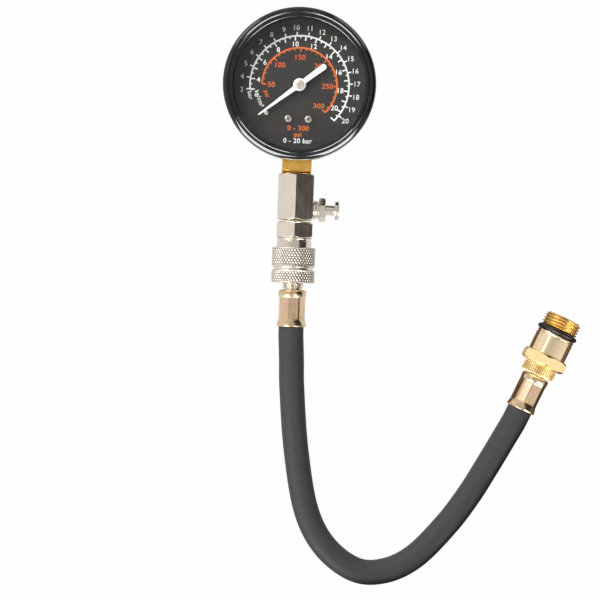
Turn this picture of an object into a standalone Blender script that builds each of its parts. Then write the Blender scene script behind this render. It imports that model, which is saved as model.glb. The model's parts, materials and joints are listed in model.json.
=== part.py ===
"""Compression tester gauge: a Bourdon gauge on a brass stem, a nickel manifold with a push-button
release valve, a quick coupler, and a rubber hose that ends in a threaded spark plug adapter.

It lies on its back. The origin is the centre of the case's flat back, +Z leaves the dial, +Y is
12 o'clock, and the stack of fittings runs from the gauge along -Y. Lengths are in metres.
"""

import math

import bmesh
import bpy
from mathutils import Vector

# Clearances and roundness
clearance = 0.0003  # between pieces that seat on each other
large_round = 36
medium_round = 24
small_round = 16
screw_round = 10
tiny_round = 8
seam_turn = math.radians(5.2)  # keeps the facets' edges off the hexagons' corners

# Gauge case, bezel and window
case_radius = 0.0335
case_depth = 0.024
case_wall = 0.0008
case_edge_round = 0.003
gasket_thickness = 0.0008
gasket_width = 0.002
window_thickness = 0.002
bezel_wall = 0.0022
bezel_skirt_length = 0.0035
bezel_grip = 0.0026  # how far the lip reaches in over the window, from the case's outside
bezel_lip_thickness = 0.0008
bezel_crest_rise = 0.0008

# Dial and pointer
dial_height = 0.0194
dial_thickness = 0.0006
dial_edge_gap = 0.0005
dial_centre_hole = 0.0014
dial_screw_offset = 0.00475
dial_screw_drop = 0.016
dial_screw_radius = 0.0011
dial_screw_head_radius = 0.0018
dial_screw_head_height = 0.0011
dial_screw_length = 0.0045
screw_slot_width = 0.0005
screw_slot_depth = 0.0005
zero_pin_reach = 0.0204
zero_pin_angle = math.radians(221.6)
zero_pin_radius = 0.00055
zero_pin_collar_radius = 0.00105
zero_pin_height = 0.0031
pointer_angle = math.radians(218.1)
pointer_height = 0.022
pointer_thickness = 0.0005
pointer_tip_reach = 0.0242
pointer_tip_width = 0.0006
pointer_root_width = 0.0022
pointer_tail_reach = 0.0154
pointer_tail_width = 0.0027
pointer_disc_radius = 0.003
hub_body_radius = 0.0014
hub_cap_radius = 0.0018
hub_cap_height = 0.001
hub_flange_radius = 0.0022
hub_flange_height = 0.0007

# Movement: a sector that follows the tube and a pinion that carries the pointer
gear_module = 0.0003
pinion_teeth = 12
sector_full_teeth = 72
sector_line_angle = math.radians(-23.9)  # from the pinion to the sector's pivot
sector_swing = math.radians(44.2)
sector_margin = math.radians(6.4)
gear_backlash = 0.00014
pressure_angle = math.radians(20)
shaft_radius = 0.0006
arbor_radius = 0.0008
sector_hub_radius = 0.0026
sector_height = 0.0126
sector_thickness = 0.001
pinion_height = 0.012
pinion_width = 0.0022
tail_length = 0.005
tail_angle = math.radians(-97.1)
tail_eye_radius = 0.0015
link_pin_radius = 0.0006
link_height = 0.014
link_thickness = 0.0006
link_waist = 0.0016
plate_thickness = 0.001
back_plate_height = 0.0092
front_plate_height = 0.016
plate_corner_radius = 0.003
pillar_left = 0.0045
pillar_rise = 0.0045
pillar_drop = 0.0105
pillar_right = 0.0175
pillar_side_rise = 0.001
plate_corner_right = 0.0125
plate_corner_drop = 0.0085
pillar_radius = 0.0012
pillar_spigot_radius = 0.0007
movement_screw_left = 0.0015
movement_screw_drop = 0.0108
movement_screw_right = 0.0025
movement_screw_upper_drop = 0.006
movement_screw_radius = 0.0009
movement_screw_head_radius = 0.0018
movement_screw_head_height = 0.0011
hairspring_outer = 0.0047
hairspring_inner = 0.0014
hairspring_turns = 2.75
hairspring_strip = 0.00025
hairspring_width = 0.0006
hairspring_gap_over_pinion = 0.0004
collet_radius = 0.0016

# Bourdon tube
tube_radius = 0.024
tube_width = 0.0026
tube_tall = 0.009
tube_wall = 0.00045
tube_root_angle = math.radians(260)
tube_tip_angle = math.radians(-16)
tip_inner_reach = 0.0206
tip_outer_reach = 0.0258
tip_length = 0.0042
tip_height = 0.0074
link_stud_angle = math.radians(-23.57)
link_stud_reach = 0.02226

# Stem socket: the square brass bar through the case, with its threaded shank
neck_width = 0.014
neck_chamfer = 0.0006
neck_floor = 0.004
socket_top = 0.0138
neck_reach = 0.0075  # out of the case
shank_radius = 0.0065
shank_length = 0.011
passage_radius = 0.002
boss_radius = 0.0021
tongue_width = 0.01
tongue_reach = 0.0035
tongue_thickness = 0.0039
wing_span = 0.0252
wing_depth = 0.0034
wing_inset = 0.0033  # from the case's inner wall
wing_height = 0.006
case_screw_angle = math.radians(17.5)
case_screw_radius = 0.0014
case_screw_head_radius = 0.0023
case_screw_head_height = 0.0015
case_screw_length = 0.0066

# Manifold
hex_flats = 0.017
manifold_length = 0.0222
hex_chamfer_angle = math.radians(30)
blank_margin = 1.018  # the bar that a hexagon is milled from, over the hexagon's corners
shank_room = 0.001
lower_port_radius = 0.0053
lower_port_depth = 0.0035

# Push-button release valve, on the manifold's +X flat
valve_place = 0.0168  # from the block's upper end
valve_shank_radius = 0.0035
valve_shank_length = 0.0029
valve_neck_radius = 0.0045
valve_neck_length = 0.00235
valve_hex_flats = 0.01
valve_hex_length = 0.0034
valve_hex_turn = math.radians(12)
valve_chamber_radius = 0.0029
valve_seat_start = 0.0083
valve_seat_thickness = 0.001
valve_seat_hole = 0.0013
button_travel = 0.002
button_radius = 0.00455
button_height = 0.0019
button_stem_radius = 0.0024
button_room = 0.00235  # left under the head when it is pressed
button_stem_hidden = 0.001
button_rod_radius = 0.0009
valve_disc_radius = 0.0024
valve_disc_thickness = 0.001
valve_disc_start = 0.0062
valve_seal_thickness = 0.0005
valve_wire_radius = 0.00025
valve_spring_turns = 4

# Quick coupler
coupler_seat = 0.0007
coupler_hex_length = 0.0079
coupler_stub_radius = 0.005
coupler_stub_length = 0.0032
coupler_neck_radius = 0.0083
coupler_neck_reach = 0.0152  # this and the next places are from the hexagon's upper end
coupler_nose_radius = 0.0071
coupler_nose_reach = 0.0288
coupler_bore_depth = 0.016
coupler_seal_groove_radius = 0.0062
coupler_seal_depth = 0.0188
coupler_seal_thickness = 0.0014
sleeve_reach = 0.0291
sleeve_radius = 0.01035
sleeve_edge_chamfer = 0.0005
sleeve_groove_place = 0.0214
sleeve_groove_width = 0.0018
sleeve_groove_radius = 0.0094
sleeve_land_place = 0.0223
sleeve_land_width = 0.0042
sleeve_land_radius = 0.0074
sleeve_travel = 0.0032
sleeve_room = 0.0012  # left over the hexagon when it is pulled back
ball_radius = 0.00175
ball_depth = 0.0243
ball_count = 4
ring_thickness = 0.0007
ring_outer_radius = 0.0082
coupler_wire_radius = 0.00035
coupler_spring_turns = 3

# Plug, ferrules and hose
plug_nose_radius = 0.0045
plug_groove_radius = 0.0033
plug_groove_floor = 0.0022
plug_flange_gap = 0.0006  # below the sleeve
plug_flange_width = 0.0021
plug_flange_radius = 0.005
barb_radius = 0.0033
barb_root_radius = 0.0026
barb_neck_radius = 0.00325
barb_bore_radius = 0.0015
barb_pitch = 0.0042
hose_radius = 0.006
hose_insertion = 0.0026
hose_point_spacing = 0.018
ferrule_length = 0.0176
ferrule_gap = 0.0007  # below the plug's flange
ferrule_shoulder_radius = 0.0067
ferrule_crimp_radius = 0.0064
ferrule_crimp_flat = 0.00612
ferrule_flare_radius = 0.00705
ferrule_flare_length = 0.0034
ferrule_shoulder_length = 0.0031
ferrule_wall = 0.0006
crimp_flats = 8

# Hose end: stem, adapter and check valve, on an axis of their own
adapter_flats = 0.0205
end_axis_turn = math.radians(24.07)  # from +Y toward +X
end_axis_start = Vector((0.1105, -0.1498, adapter_flats / 2 / math.cos(math.radians(30))))
collar_start = 0.0181
collar_length = 0.0048
collar_radius = 0.0082
collar_teeth = 30
collar_tooth_depth = 0.00045
stem_nose_radius = 0.0069
stem_nose_end = 0.033
valve_pocket_start = 0.022
valve_pocket_radius = 0.0032
adapter_hex_length = 0.0057
barrel_radius = 0.0092
barrel_end = 0.0392
o_ring_groove_radius = 0.0073
o_ring_radius = 0.00125
o_ring_outer_radius = 0.0099
thread_start = 0.042
thread_end = 0.0483
thread_radius = 0.009
thread_chamfer = 0.0009
adapter_bore_radius = 0.005
stem_seal_thickness = 0.0007
core_radius = 0.0029
core_start = 0.025
core_length = 0.007
core_floor = 0.002
core_pocket_radius = 0.0023
pin_radius = 0.0006
pin_start = 0.0239
pin_disc_radius = 0.0016
pin_disc_thickness = 0.0008
pin_end = 0.0332
pin_collar_radius = 0.0019
pin_collar_start = 0.0306
pin_collar_thickness = 0.0008
pin_wire_radius = 0.0002
pin_spring_turns = 3

# Places worked out from the sizes above
stack_height = neck_floor + neck_width / 2
dial_top = dial_height + dial_thickness
gasket_start = case_depth + clearance
window_start = gasket_start + gasket_thickness + clearance
bezel_lip_start = window_start + window_thickness + clearance
bezel_lip_height = bezel_lip_start + bezel_lip_thickness
bezel_crest_height = bezel_lip_height + bezel_crest_rise
bezel_crest_radius = case_radius + clearance
bezel_radius = bezel_crest_radius + bezel_wall
bezel_opening_radius = case_radius - bezel_grip
bezel_skirt_start = case_depth - bezel_skirt_length
neck_end = case_radius + neck_reach
wing_far = case_radius - case_wall - wing_inset
wing_near = wing_far - wing_depth
manifold_start = neck_end + clearance
manifold_end = manifold_start + manifold_length
valve_offset = manifold_start + valve_place
coupler_hex_start = manifold_end + coupler_seat
coupler_neck_end = coupler_hex_start + coupler_neck_reach
coupler_nose_end = coupler_hex_start + coupler_nose_reach
coupler_bore_start = coupler_hex_start + coupler_bore_depth
coupler_seal_place = coupler_hex_start + coupler_seal_depth
ball_place = coupler_hex_start + ball_depth
sleeve_end = coupler_hex_start + sleeve_reach
sleeve_groove_start = coupler_hex_start + sleeve_groove_place
sleeve_groove_end = sleeve_groove_start + sleeve_groove_width
sleeve_land_start = coupler_hex_start + sleeve_land_place
sleeve_land_end = sleeve_land_start + sleeve_land_width
plug_flange_start = sleeve_end + plug_flange_gap
plug_flange_end = plug_flange_start + plug_flange_width
ferrule_start = plug_flange_end + ferrule_gap
pillar_places = [
    (-pillar_left, pillar_rise),
    (-pillar_left, -pillar_drop),
    (pillar_right, pillar_side_rise),
]
plate_free_corner = (plate_corner_right, -plate_corner_drop)
movement_screw_places = [
    (-movement_screw_left, -movement_screw_drop),
    (movement_screw_right, -movement_screw_upper_drop),
]
gear_distance = gear_module * (pinion_teeth + sector_full_teeth) / 2
sector_pivot = (
    gear_distance * math.cos(sector_line_angle),
    gear_distance * math.sin(sector_line_angle),
)
tail_pin = (
    sector_pivot[0] + tail_length * math.cos(tail_angle),
    sector_pivot[1] + tail_length * math.sin(tail_angle),
)
link_stud = (
    link_stud_reach * math.cos(link_stud_angle),
    link_stud_reach * math.sin(link_stud_angle),
)
valve_flat = hex_flats / 2
valve_body_start = valve_flat + clearance
valve_hex_start = valve_body_start + valve_neck_length
valve_hex_end = valve_hex_start + valve_hex_length
sleeve_start = coupler_hex_start + coupler_hex_length + sleeve_travel + sleeve_room
collar_end = collar_start + collar_length
adapter_start = collar_end + clearance
barrel_start = adapter_start + adapter_hex_length

# The hose's centre line on the floor, chosen by hand: it leaves the coupler, dips to the floor
# through the bend and rises again to the adapter, whose hexagon lies on a corner.
hose_route = [
    (0.0, -0.118, 0.0110),
    (0.0007, -0.1303, 0.0107),
    (0.0014, -0.1446, 0.0097),
    (0.0044, -0.1735, 0.0076),
    (0.0102, -0.2021, 0.0066),
    (0.0199, -0.2195, 0.0063),
    (0.0347, -0.2300, 0.0063),
    (0.0491, -0.2300, 0.0063),
    (0.0632, -0.2225, 0.0064),
    (0.0776, -0.2069, 0.0069),
    (0.0879, -0.1922, 0.0077),
    (0.0963, -0.1774, 0.0091),
    (0.1041, -0.1628, 0.0110),
]


def clear_scene():
    for item in list(bpy.data.objects):
        bpy.data.objects.remove(item, do_unlink=True)


def finish_material(name, colour, roughness, metallic=0.0, transmission=0.0):
    made = bpy.data.materials.new(name)
    made.use_nodes = True
    shader = made.node_tree.nodes["Principled BSDF"]
    shader.inputs["Base Color"].default_value = (*colour, 1.0)
    shader.inputs["Roughness"].default_value = roughness
    shader.inputs["Metallic"].default_value = metallic
    shader.inputs["Transmission Weight"].default_value = transmission
    return made


# Outlines and profiles


def arc(centre, radius, start, end, steps):
    """Points of an arc, ends included; an outline takes them as (x, y), a profile as (radius, height)."""
    return [
        (
            centre[0] + radius * math.cos(start + (end - start) * i / steps),
            centre[1] + radius * math.sin(start + (end - start) * i / steps),
        )
        for i in range(steps + 1)
    ]


def circle(radius, count, centre=(0.0, 0.0)):
    return arc(centre, radius, 0.0, math.tau, count)[:-1]


def rectangle(width, depth, centre=(0.0, 0.0)):
    x, y = width / 2, depth / 2
    return [(centre[0] + sx * x, centre[1] + sy * y) for sx, sy in ((-1, -1), (1, -1), (1, 1), (-1, 1))]


def chamfered_square(width, chamfer):
    far, near = width / 2, width / 2 - chamfer
    corner = [(far, near), (near, far)]
    points = []
    for quarter in range(4):
        cos, sin = round(math.cos(quarter * math.pi / 2)), round(math.sin(quarter * math.pi / 2))
        points += [(x * cos - y * sin, x * sin + y * cos) for x, y in corner]
    return points


def rounded_hull(centres, radius, steps):
    """The outline of a belt around equal discs, whose centres run anticlockwise."""
    points = []
    for index, centre in enumerate(centres):
        before, after = centres[index - 1], centres[(index + 1) % len(centres)]
        leaving = math.atan2(after[1] - centre[1], after[0] - centre[0]) - math.pi / 2
        arriving = math.atan2(centre[1] - before[1], centre[0] - before[0]) - math.pi / 2
        while leaving < arriving:
            leaving += math.tau
        points += arc(centre, radius, arriving, leaving, steps)
    return points


def tooth(pitch_radius, angle):
    """One gear tooth's four points, from its lower flank's root to its upper flank's root."""
    half = (math.pi * gear_module / 2 - gear_backlash / 2) / 2
    addendum, dedendum = 0.9 * gear_module, 1.2 * gear_module
    root_half = (half + dedendum * math.tan(pressure_angle)) / pitch_radius
    tip_half = (half - addendum * math.tan(pressure_angle)) / pitch_radius
    root, tip = pitch_radius - dedendum, pitch_radius + addendum
    corners = ((root, -root_half), (tip, -tip_half), (tip, tip_half), (root, root_half))
    return [(r * math.cos(angle + a), r * math.sin(angle + a)) for r, a in corners]


# Solids


def spun(profile, segments, closed=False):
    """A profile of (radius, height) turned once round Z; a closed profile makes a ring."""
    bm = bmesh.new()
    verts = [bm.verts.new((r * math.cos(seam_turn), r * math.sin(seam_turn), z)) for r, z in profile]
    edges = [bm.edges.new(pair) for pair in zip(verts, verts[1:])]
    if closed:
        edges.append(bm.edges.new((verts[-1], verts[0])))
    bmesh.ops.spin(
        bm, geom=verts + edges, cent=(0, 0, 0), axis=(0, 0, 1), angle=math.tau, steps=segments, use_merge=True
    )
    bmesh.ops.remove_doubles(bm, verts=bm.verts, dist=1e-7)
    bmesh.ops.recalc_face_normals(bm, faces=bm.faces)
    return bm


def cylinder(radius, start, end, segments):
    return spun([(0, start), (radius, start), (radius, end), (0, end)], segments)


def prism(outline, start, end):
    bm = bmesh.new()
    face = bm.faces.new([bm.verts.new((x, y, start)) for x, y in outline])
    grown = bmesh.ops.extrude_face_region(bm, geom=[face])
    moved = [item for item in grown["geom"] if isinstance(item, bmesh.types.BMVert)]
    bmesh.ops.translate(bm, verts=moved, vec=(0, 0, end - start))
    bmesh.ops.recalc_face_normals(bm, faces=bm.faces)
    return bm


def lofted(rings, closed=False):
    """Rings of equally many points joined in order; the last meets the first, or both get a cap."""
    bm = bmesh.new()
    loops = [[bm.verts.new(point) for point in ring] for ring in rings]
    pairs = list(zip(loops, loops[1:]))
    if closed:
        pairs.append((loops[-1], loops[0]))
    else:
        bm.faces.new(loops[0])
        bm.faces.new(loops[-1])
    for near, far in pairs:
        for i in range(len(near)):
            j = (i + 1) % len(near)
            bm.faces.new((near[i], near[j], far[j], far[i]))
    bmesh.ops.recalc_face_normals(bm, faces=bm.faces)
    return bm


def coil(mean_radius, wire_radius, start, end, turns, sides=4, steps=8):
    """A round-wire spring between two flat seats, as the wire's rings along a helix."""
    low, high = start + wire_radius, end - wire_radius
    count = round(turns * steps)
    rings = []
    for i in range(count + 1):
        around = math.tau * turns * i / count
        height = low + (high - low) * i / count
        section = circle(wire_radius, sides)
        rings.append(
            [
                ((mean_radius + a) * math.cos(around), (mean_radius + a) * math.sin(around), height + b)
                for a, b in section
            ]
        )
    return lofted(rings)


# Objects

stack_axis = None
valve_axis = None
end_axis = None


def axis_empty(name, location, rotation):
    made = bpy.data.objects.new(name, None)
    made.location = location
    made.rotation_euler = rotation
    bpy.context.collection.objects.link(made)
    return made


def add(name, bm, material, parent=None, location=(0, 0, 0), rotation=(0, 0, 0)):
    mesh = bpy.data.meshes.new(name)
    bm.to_mesh(mesh)
    bm.free()
    mesh.materials.append(material)
    mesh.shade_smooth()
    mesh.set_sharp_from_angle(angle=math.radians(32))
    made = bpy.data.objects.new(name, mesh)
    made.parent = parent
    made.location = location
    made.rotation_euler = rotation
    bpy.context.collection.objects.link(made)
    return made


def combine(target, operation, name, bm, parent=None, location=(0, 0, 0), rotation=(0, 0, 0)):
    """Joins a hidden tool body to the target, or cuts the target with it."""
    tool = add(name, bm, target.data.materials[0], parent, location, rotation)
    tool.hide_render = True
    tool.display_type = "WIRE"
    modifier = target.modifiers.new(name, "BOOLEAN")
    modifier.operation = operation
    modifier.object = tool
    modifier.solver = "EXACT"
    return tool


def cut(target, name, bm, **place):
    return combine(target, "DIFFERENCE", name, bm, **place)


def join(target, name, bm, **place):
    return combine(target, "UNION", name, bm, **place)


def hexagon_cut(target, name, flats, start, end, turn=0.0, **place):
    """Mills six flats: a thick collar with a hexagonal hole is cut from the blank."""
    inner = flats / 2 / math.cos(math.pi / 6)
    corners = [math.pi / 6 + turn + i * math.pi / 3 for i in range(6)]

    def ring(radius, height):
        return [(radius * math.cos(a), radius * math.sin(a), height) for a in corners]

    rings = [ring(inner, start), ring(inner * 1.5, start), ring(inner * 1.5, end), ring(inner, end)]
    cut(target, name, lofted(rings, closed=True), **place)


def hexagon_blank(flats, start, end):
    """The outer profile of a turned hexagon blank, with its chamfered ends."""
    far = flats / 2 / math.cos(math.pi / 6) * blank_margin
    near = flats / 2 * 0.965
    slope = (far - near) * math.tan(hex_chamfer_angle)
    return [(near, start), (far, start + slope), (far, end - slope), (near, end)]


def slot_cut(target, name, radius, top, **place):
    """A screwdriver slot across a screw's head."""
    bm = prism(rectangle(radius * 3, screw_slot_width), top - screw_slot_depth, top + screw_slot_depth)
    cut(target, name, bm, **place)


def pan_screw(radius, length, head_radius, head_height):
    """A pan head screw; its head starts at height 0 and its shank hangs below."""
    return spun(
        [
            (0, -length),
            (radius, -length),
            (radius, 0),
            (head_radius, 0),
            (head_radius, head_height * 0.5),
            (head_radius * 0.75, head_height),
            (0, head_height),
        ],
        screw_round,
    )


# Gauge head


def build_case(steel):
    edge = case_radius - case_edge_round
    inner = case_edge_round - case_wall
    outside = arc((edge, case_edge_round), case_edge_round, -math.pi / 2, 0, 2)
    inside = arc((edge, case_edge_round), inner, 0, -math.pi / 2, 2)
    rim = [(case_radius, case_depth), (case_radius - case_wall, case_depth)]
    case = add("case", spun([(0, 0)] + outside + rim + inside + [(0, case_wall)], large_round), steel)
    slot = neck_width + 2 * clearance
    cut(
        case,
        "neck_slot",
        prism(rectangle(slot, slot), case_radius - 5 * case_wall, case_radius + 2 * case_wall),
        parent=stack_axis,
    )
    case_screw_holes(case)


def build_bezel(enamel):
    inner = case_radius + clearance
    shoulder = bezel_crest_height - (bezel_radius - bezel_crest_radius)
    crest_centre = (bezel_crest_radius, shoulder)
    crest = arc(crest_centre, bezel_radius - bezel_crest_radius, 0, math.pi / 2, 4)
    foot = bezel_radius - inner
    profile = [
        (inner, bezel_skirt_start),
        (bezel_radius - foot * 0.25, bezel_skirt_start),
        (bezel_radius, bezel_skirt_start + foot * 0.25),
    ]
    profile += crest
    profile += [
        ((bezel_crest_radius + bezel_opening_radius) / 2, (bezel_crest_height * 2 + bezel_lip_height) / 3),
        (bezel_opening_radius, bezel_lip_height),
        (bezel_opening_radius, bezel_lip_start),
        (inner, bezel_lip_start),
    ]
    add("bezel", spun(profile, large_round, closed=True), enamel)


def build_window(glass, rubber):
    edge = case_radius - clearance
    add("window", cylinder(edge, window_start, window_start + window_thickness, large_round), glass)
    top = gasket_start + gasket_thickness
    inner = edge - gasket_width
    section = [(inner, gasket_start), (edge, gasket_start), (edge, top), (inner, top)]
    add("window_gasket", spun(section, large_round, closed=True), rubber)


def build_dial(enamel, steel):
    edge = case_radius - case_wall - dial_edge_gap
    section = [
        (dial_centre_hole, dial_height),
        (edge, dial_height),
        (edge, dial_top),
        (dial_centre_hole, dial_top),
    ]
    dial = add("dial", spun(section, large_round, closed=True), enamel)
    hole = dial_screw_radius + clearance
    under, over = dial_height - dial_thickness, dial_top + dial_thickness
    for side, sign in (("left", -1), ("right", 1)):
        place = (sign * dial_screw_offset, -dial_screw_drop)
        cut(dial, f"dial_hole_{side}", prism(circle(hole, tiny_round, place), under, over))
        name = f"dial_screw_{side}"
        bm = pan_screw(
            dial_screw_radius, dial_screw_length, dial_screw_head_radius, dial_screw_head_height
        )
        seat = (*place, dial_top + clearance)
        screw = add(name, bm, steel, location=seat, rotation=(0, 0, sign * 0.5))
        slot_cut(
            screw,
            name + "_slot",
            dial_screw_head_radius,
            dial_screw_head_height,
            location=seat,
            rotation=(0, 0, sign * 0.5),
        )
    pin_place = (
        zero_pin_reach * math.cos(zero_pin_angle),
        zero_pin_reach * math.sin(zero_pin_angle),
    )
    pin_hole = circle(zero_pin_radius + clearance, tiny_round, pin_place)
    cut(dial, "zero_pin_hole", prism(pin_hole, under, over))
    foot = clearance + zero_pin_radius
    pin = [
        (0, -dial_thickness - clearance),
        (zero_pin_radius, -dial_thickness - clearance),
        (zero_pin_radius, clearance),
        (zero_pin_collar_radius, clearance),
        (zero_pin_collar_radius, foot),
        (zero_pin_radius, foot),
        (zero_pin_radius, zero_pin_height),
        (0, zero_pin_height),
    ]
    add("zero_pin", spun(pin, tiny_round), steel, location=(*pin_place, dial_top))


def build_pointer(white, nickel):
    tip, root, tail = pointer_tip_width / 2, pointer_root_width / 2, pointer_tail_width / 2
    root_turn = math.asin(root / pointer_disc_radius)
    tail_turn = math.asin(tail / pointer_disc_radius)
    tail_centre = (tail - pointer_tail_reach, 0.0)
    outline = [(pointer_tip_reach, -tip), (pointer_tip_reach, tip)]
    outline += arc((0, 0), pointer_disc_radius, root_turn, math.pi - tail_turn, 6)
    outline += arc(tail_centre, tail, math.pi / 2, math.pi * 3 / 2, 5)
    outline += arc((0, 0), pointer_disc_radius, math.pi + tail_turn, math.tau - root_turn, 6)
    place = {"location": (0, 0, pointer_height), "rotation": (0, 0, pointer_angle)}
    pointer = add("pointer", prism(outline, 0, pointer_thickness), white, **place)
    hole = prism(circle(hub_body_radius + clearance, tiny_round), -pointer_thickness, 2 * pointer_thickness)
    cut(pointer, "pointer_hole", hole, **place)

    cap = pointer_height + pointer_thickness + clearance
    flange = pointer_height - clearance
    bore = shaft_radius + clearance
    shaft_top = cap + hub_cap_height / 2
    hub = [
        (0, shaft_top),
        (bore, shaft_top),
        (bore, flange - hub_flange_height),
        (hub_flange_radius, flange - hub_flange_height),
        (hub_flange_radius, flange),
        (hub_body_radius, flange),
        (hub_body_radius, cap),
        (hub_cap_radius, cap),
        (hub_cap_radius, cap + hub_cap_height * 0.7),
        (hub_cap_radius * 0.8, cap + hub_cap_height),
        (0, cap + hub_cap_height * 0.8),
    ]
    add("pointer_hub", spun(hub, small_round), nickel)


# Movement


def build_pinion(brass):
    pitch_radius = gear_module * pinion_teeth / 2
    outline = []
    for i in range(pinion_teeth):
        outline += tooth(pitch_radius, sector_line_angle + i * math.tau / pinion_teeth)
    pinion = add("pinion", prism(outline, pinion_height, pinion_height + pinion_width), brass)
    shaft_top = pointer_height + pointer_thickness + clearance
    join(pinion, "pinion_shaft", cylinder(shaft_radius, back_plate_height, shaft_top, tiny_round))


def build_sector(brass):
    pitch_radius = gear_module * sector_full_teeth / 2
    step = math.tau / sector_full_teeth
    contact = sector_line_angle + math.pi
    first = -int((sector_swing + sector_margin) / step)
    last = int(sector_margin / step)
    outline = []
    for i in range(first, last):
        outline += tooth(pitch_radius, contact + (i + 0.5) * step)
    low, high = contact + (first - 0.2) * step, contact + (last + 0.2) * step
    root = pitch_radius - 1.2 * gear_module
    outline.insert(0, (root * math.cos(low), root * math.sin(low)))
    outline.append((root * math.cos(high), root * math.sin(high)))
    eye = (tail_length * math.cos(tail_angle), tail_length * math.sin(tail_angle))
    tail_far = tail_angle + math.tau
    outline += arc((0, 0), sector_hub_radius, high + 0.7, tail_far - 0.7, 3)
    outline += arc(eye, tail_eye_radius, tail_far - math.pi / 2, tail_far + math.pi / 2, 6)
    outline += arc((0, 0), sector_hub_radius, tail_far + 0.7, low + math.tau - 0.7, 5)
    place = {"location": (*sector_pivot, 0)}
    top = sector_height + sector_thickness
    sector = add("sector_gear", prism(outline, sector_height, top), brass, **place)
    arbor_end = front_plate_height + plate_thickness
    join(sector, "sector_arbor", cylinder(arbor_radius, back_plate_height, arbor_end, tiny_round), **place)
    eye_hole = circle(link_pin_radius + clearance, tiny_round, eye)
    cut(sector, "tail_eye", prism(eye_hole, sector_height - sector_thickness, top + sector_thickness), **place)


def build_link(brass, steel):
    """The link joins the sector's tail to the stud on the tube's tip."""
    span = math.dist(tail_pin, link_stud)
    turn = math.atan2(link_stud[1] - tail_pin[1], link_stud[0] - tail_pin[0])
    waist = link_waist / 2
    fold = math.asin(waist / tail_eye_radius)
    outline = arc((0, 0), tail_eye_radius, fold, math.tau - fold, 8)
    outline += arc((span, 0), tail_eye_radius, math.pi + fold, math.tau + math.pi - fold, 8)
    place = {"location": (*tail_pin, link_height), "rotation": (0, 0, turn)}
    link = add("link", prism(outline, 0, link_thickness), brass, **place)
    for end, centre in (("tail", (0, 0)), ("stud", (span, 0))):
        hole = circle(link_pin_radius + clearance, tiny_round, centre)
        cut(link, f"link_hole_{end}", prism(hole, -link_thickness, 2 * link_thickness), **place)
    seat = link_height + link_thickness + clearance
    depth = seat - sector_height + clearance
    bm = pan_screw(link_pin_radius, depth, 2 * link_pin_radius, link_thickness)
    add("link_screw", bm, steel, location=(*tail_pin, seat))


def build_movement_frame(brass, steel):
    corners = [pillar_places[0], pillar_places[1], plate_free_corner, pillar_places[2]]
    outline = rounded_hull(corners, plate_corner_radius, 4)
    plates = {
        "movement_back_plate": back_plate_height,
        "movement_front_plate": front_plate_height,
    }
    for name, start in plates.items():
        plate = add(name, prism(outline, start, start + plate_thickness), brass)
        under, over = start - plate_thickness, start + 2 * plate_thickness
        holes = {f"{name}_pillar_hole_{i}": (p, pillar_spigot_radius) for i, p in enumerate(pillar_places)}
        holes[name + "_shaft_hole"] = ((0, 0), shaft_radius)
        holes[name + "_arbor_hole"] = (sector_pivot, arbor_radius)
        if name == "movement_back_plate":
            for i, p in enumerate(movement_screw_places):
                holes[f"{name}_screw_hole_{i}"] = (p, movement_screw_radius)
        for hole, (centre, radius) in holes.items():
            cut(plate, hole, prism(circle(radius + clearance, tiny_round, centre), under, over))

    foot = back_plate_height + plate_thickness + clearance
    head = front_plate_height - clearance
    low, high = back_plate_height, front_plate_height + plate_thickness
    spigot = pillar_spigot_radius
    pillar = [(0, low), (spigot, low), (spigot, foot), (pillar_radius, foot)]
    pillar += [(pillar_radius, head), (spigot, head), (spigot, high), (0, high)]
    for i, place in enumerate(pillar_places):
        add(f"movement_pillar_{i + 1}", spun(pillar, tiny_round), brass, location=(*place, 0))
    for i, place in enumerate(movement_screw_places):
        bm = pan_screw(
            movement_screw_radius,
            plate_thickness + tongue_thickness * 0.8,
            movement_screw_head_radius,
            movement_screw_head_height,
        )
        add(f"movement_screw_{i + 1}", bm, steel, location=(*place, foot))


def build_hairspring(bronze):
    """A flat spiral from the pinion's collet to the first pillar."""
    start = pinion_height + pinion_width + hairspring_gap_over_pinion
    end_turn = math.atan2(pillar_places[0][1], pillar_places[0][0])
    count = round(hairspring_turns * 10)
    inner_side, outer_side = [], []
    for i in range(count + 1):
        radius = hairspring_inner + (hairspring_outer - hairspring_inner) * i / count
        turn = end_turn - hairspring_turns * math.tau * (1 - i / count)
        for side, offset in ((inner_side, -hairspring_strip / 2), (outer_side, hairspring_strip / 2)):
            side.append(((radius + offset) * math.cos(turn), (radius + offset) * math.sin(turn)))
    rings = []
    for near, far in zip(inner_side, outer_side):
        low, high = start, start + hairspring_width
        rings.append([(*near, low), (*far, low), (*far, high), (*near, high)])
    spring = add("hairspring", lofted(rings), bronze)
    bore = shaft_radius + clearance
    low, high = start - clearance / 3, start + hairspring_width + clearance / 3
    collet = [(bore, low), (collet_radius, low), (collet_radius, high), (bore, high)]
    join(spring, "hairspring_collet", spun(collet, tiny_round, closed=True))


# Bourdon tube and the socket that carries the whole gauge


def tube_rings(first, last, count, width, tall):
    """Sections of a flat oval along the tube's arc, between two angles."""
    half = width / 2
    section = arc((0, tall / 2 - half), half, 0, math.pi, 3)
    section += arc((0, half - tall / 2), half, math.pi, math.tau, 3)
    rings = []
    for i in range(count + 1):
        angle = first + (last - first) * i / count
        ring = [
            ((tube_radius + a) * math.cos(angle), (tube_radius + a) * math.sin(angle), stack_height + b)
            for a, b in section
        ]
        rings.append(ring)
    return rings


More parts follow.
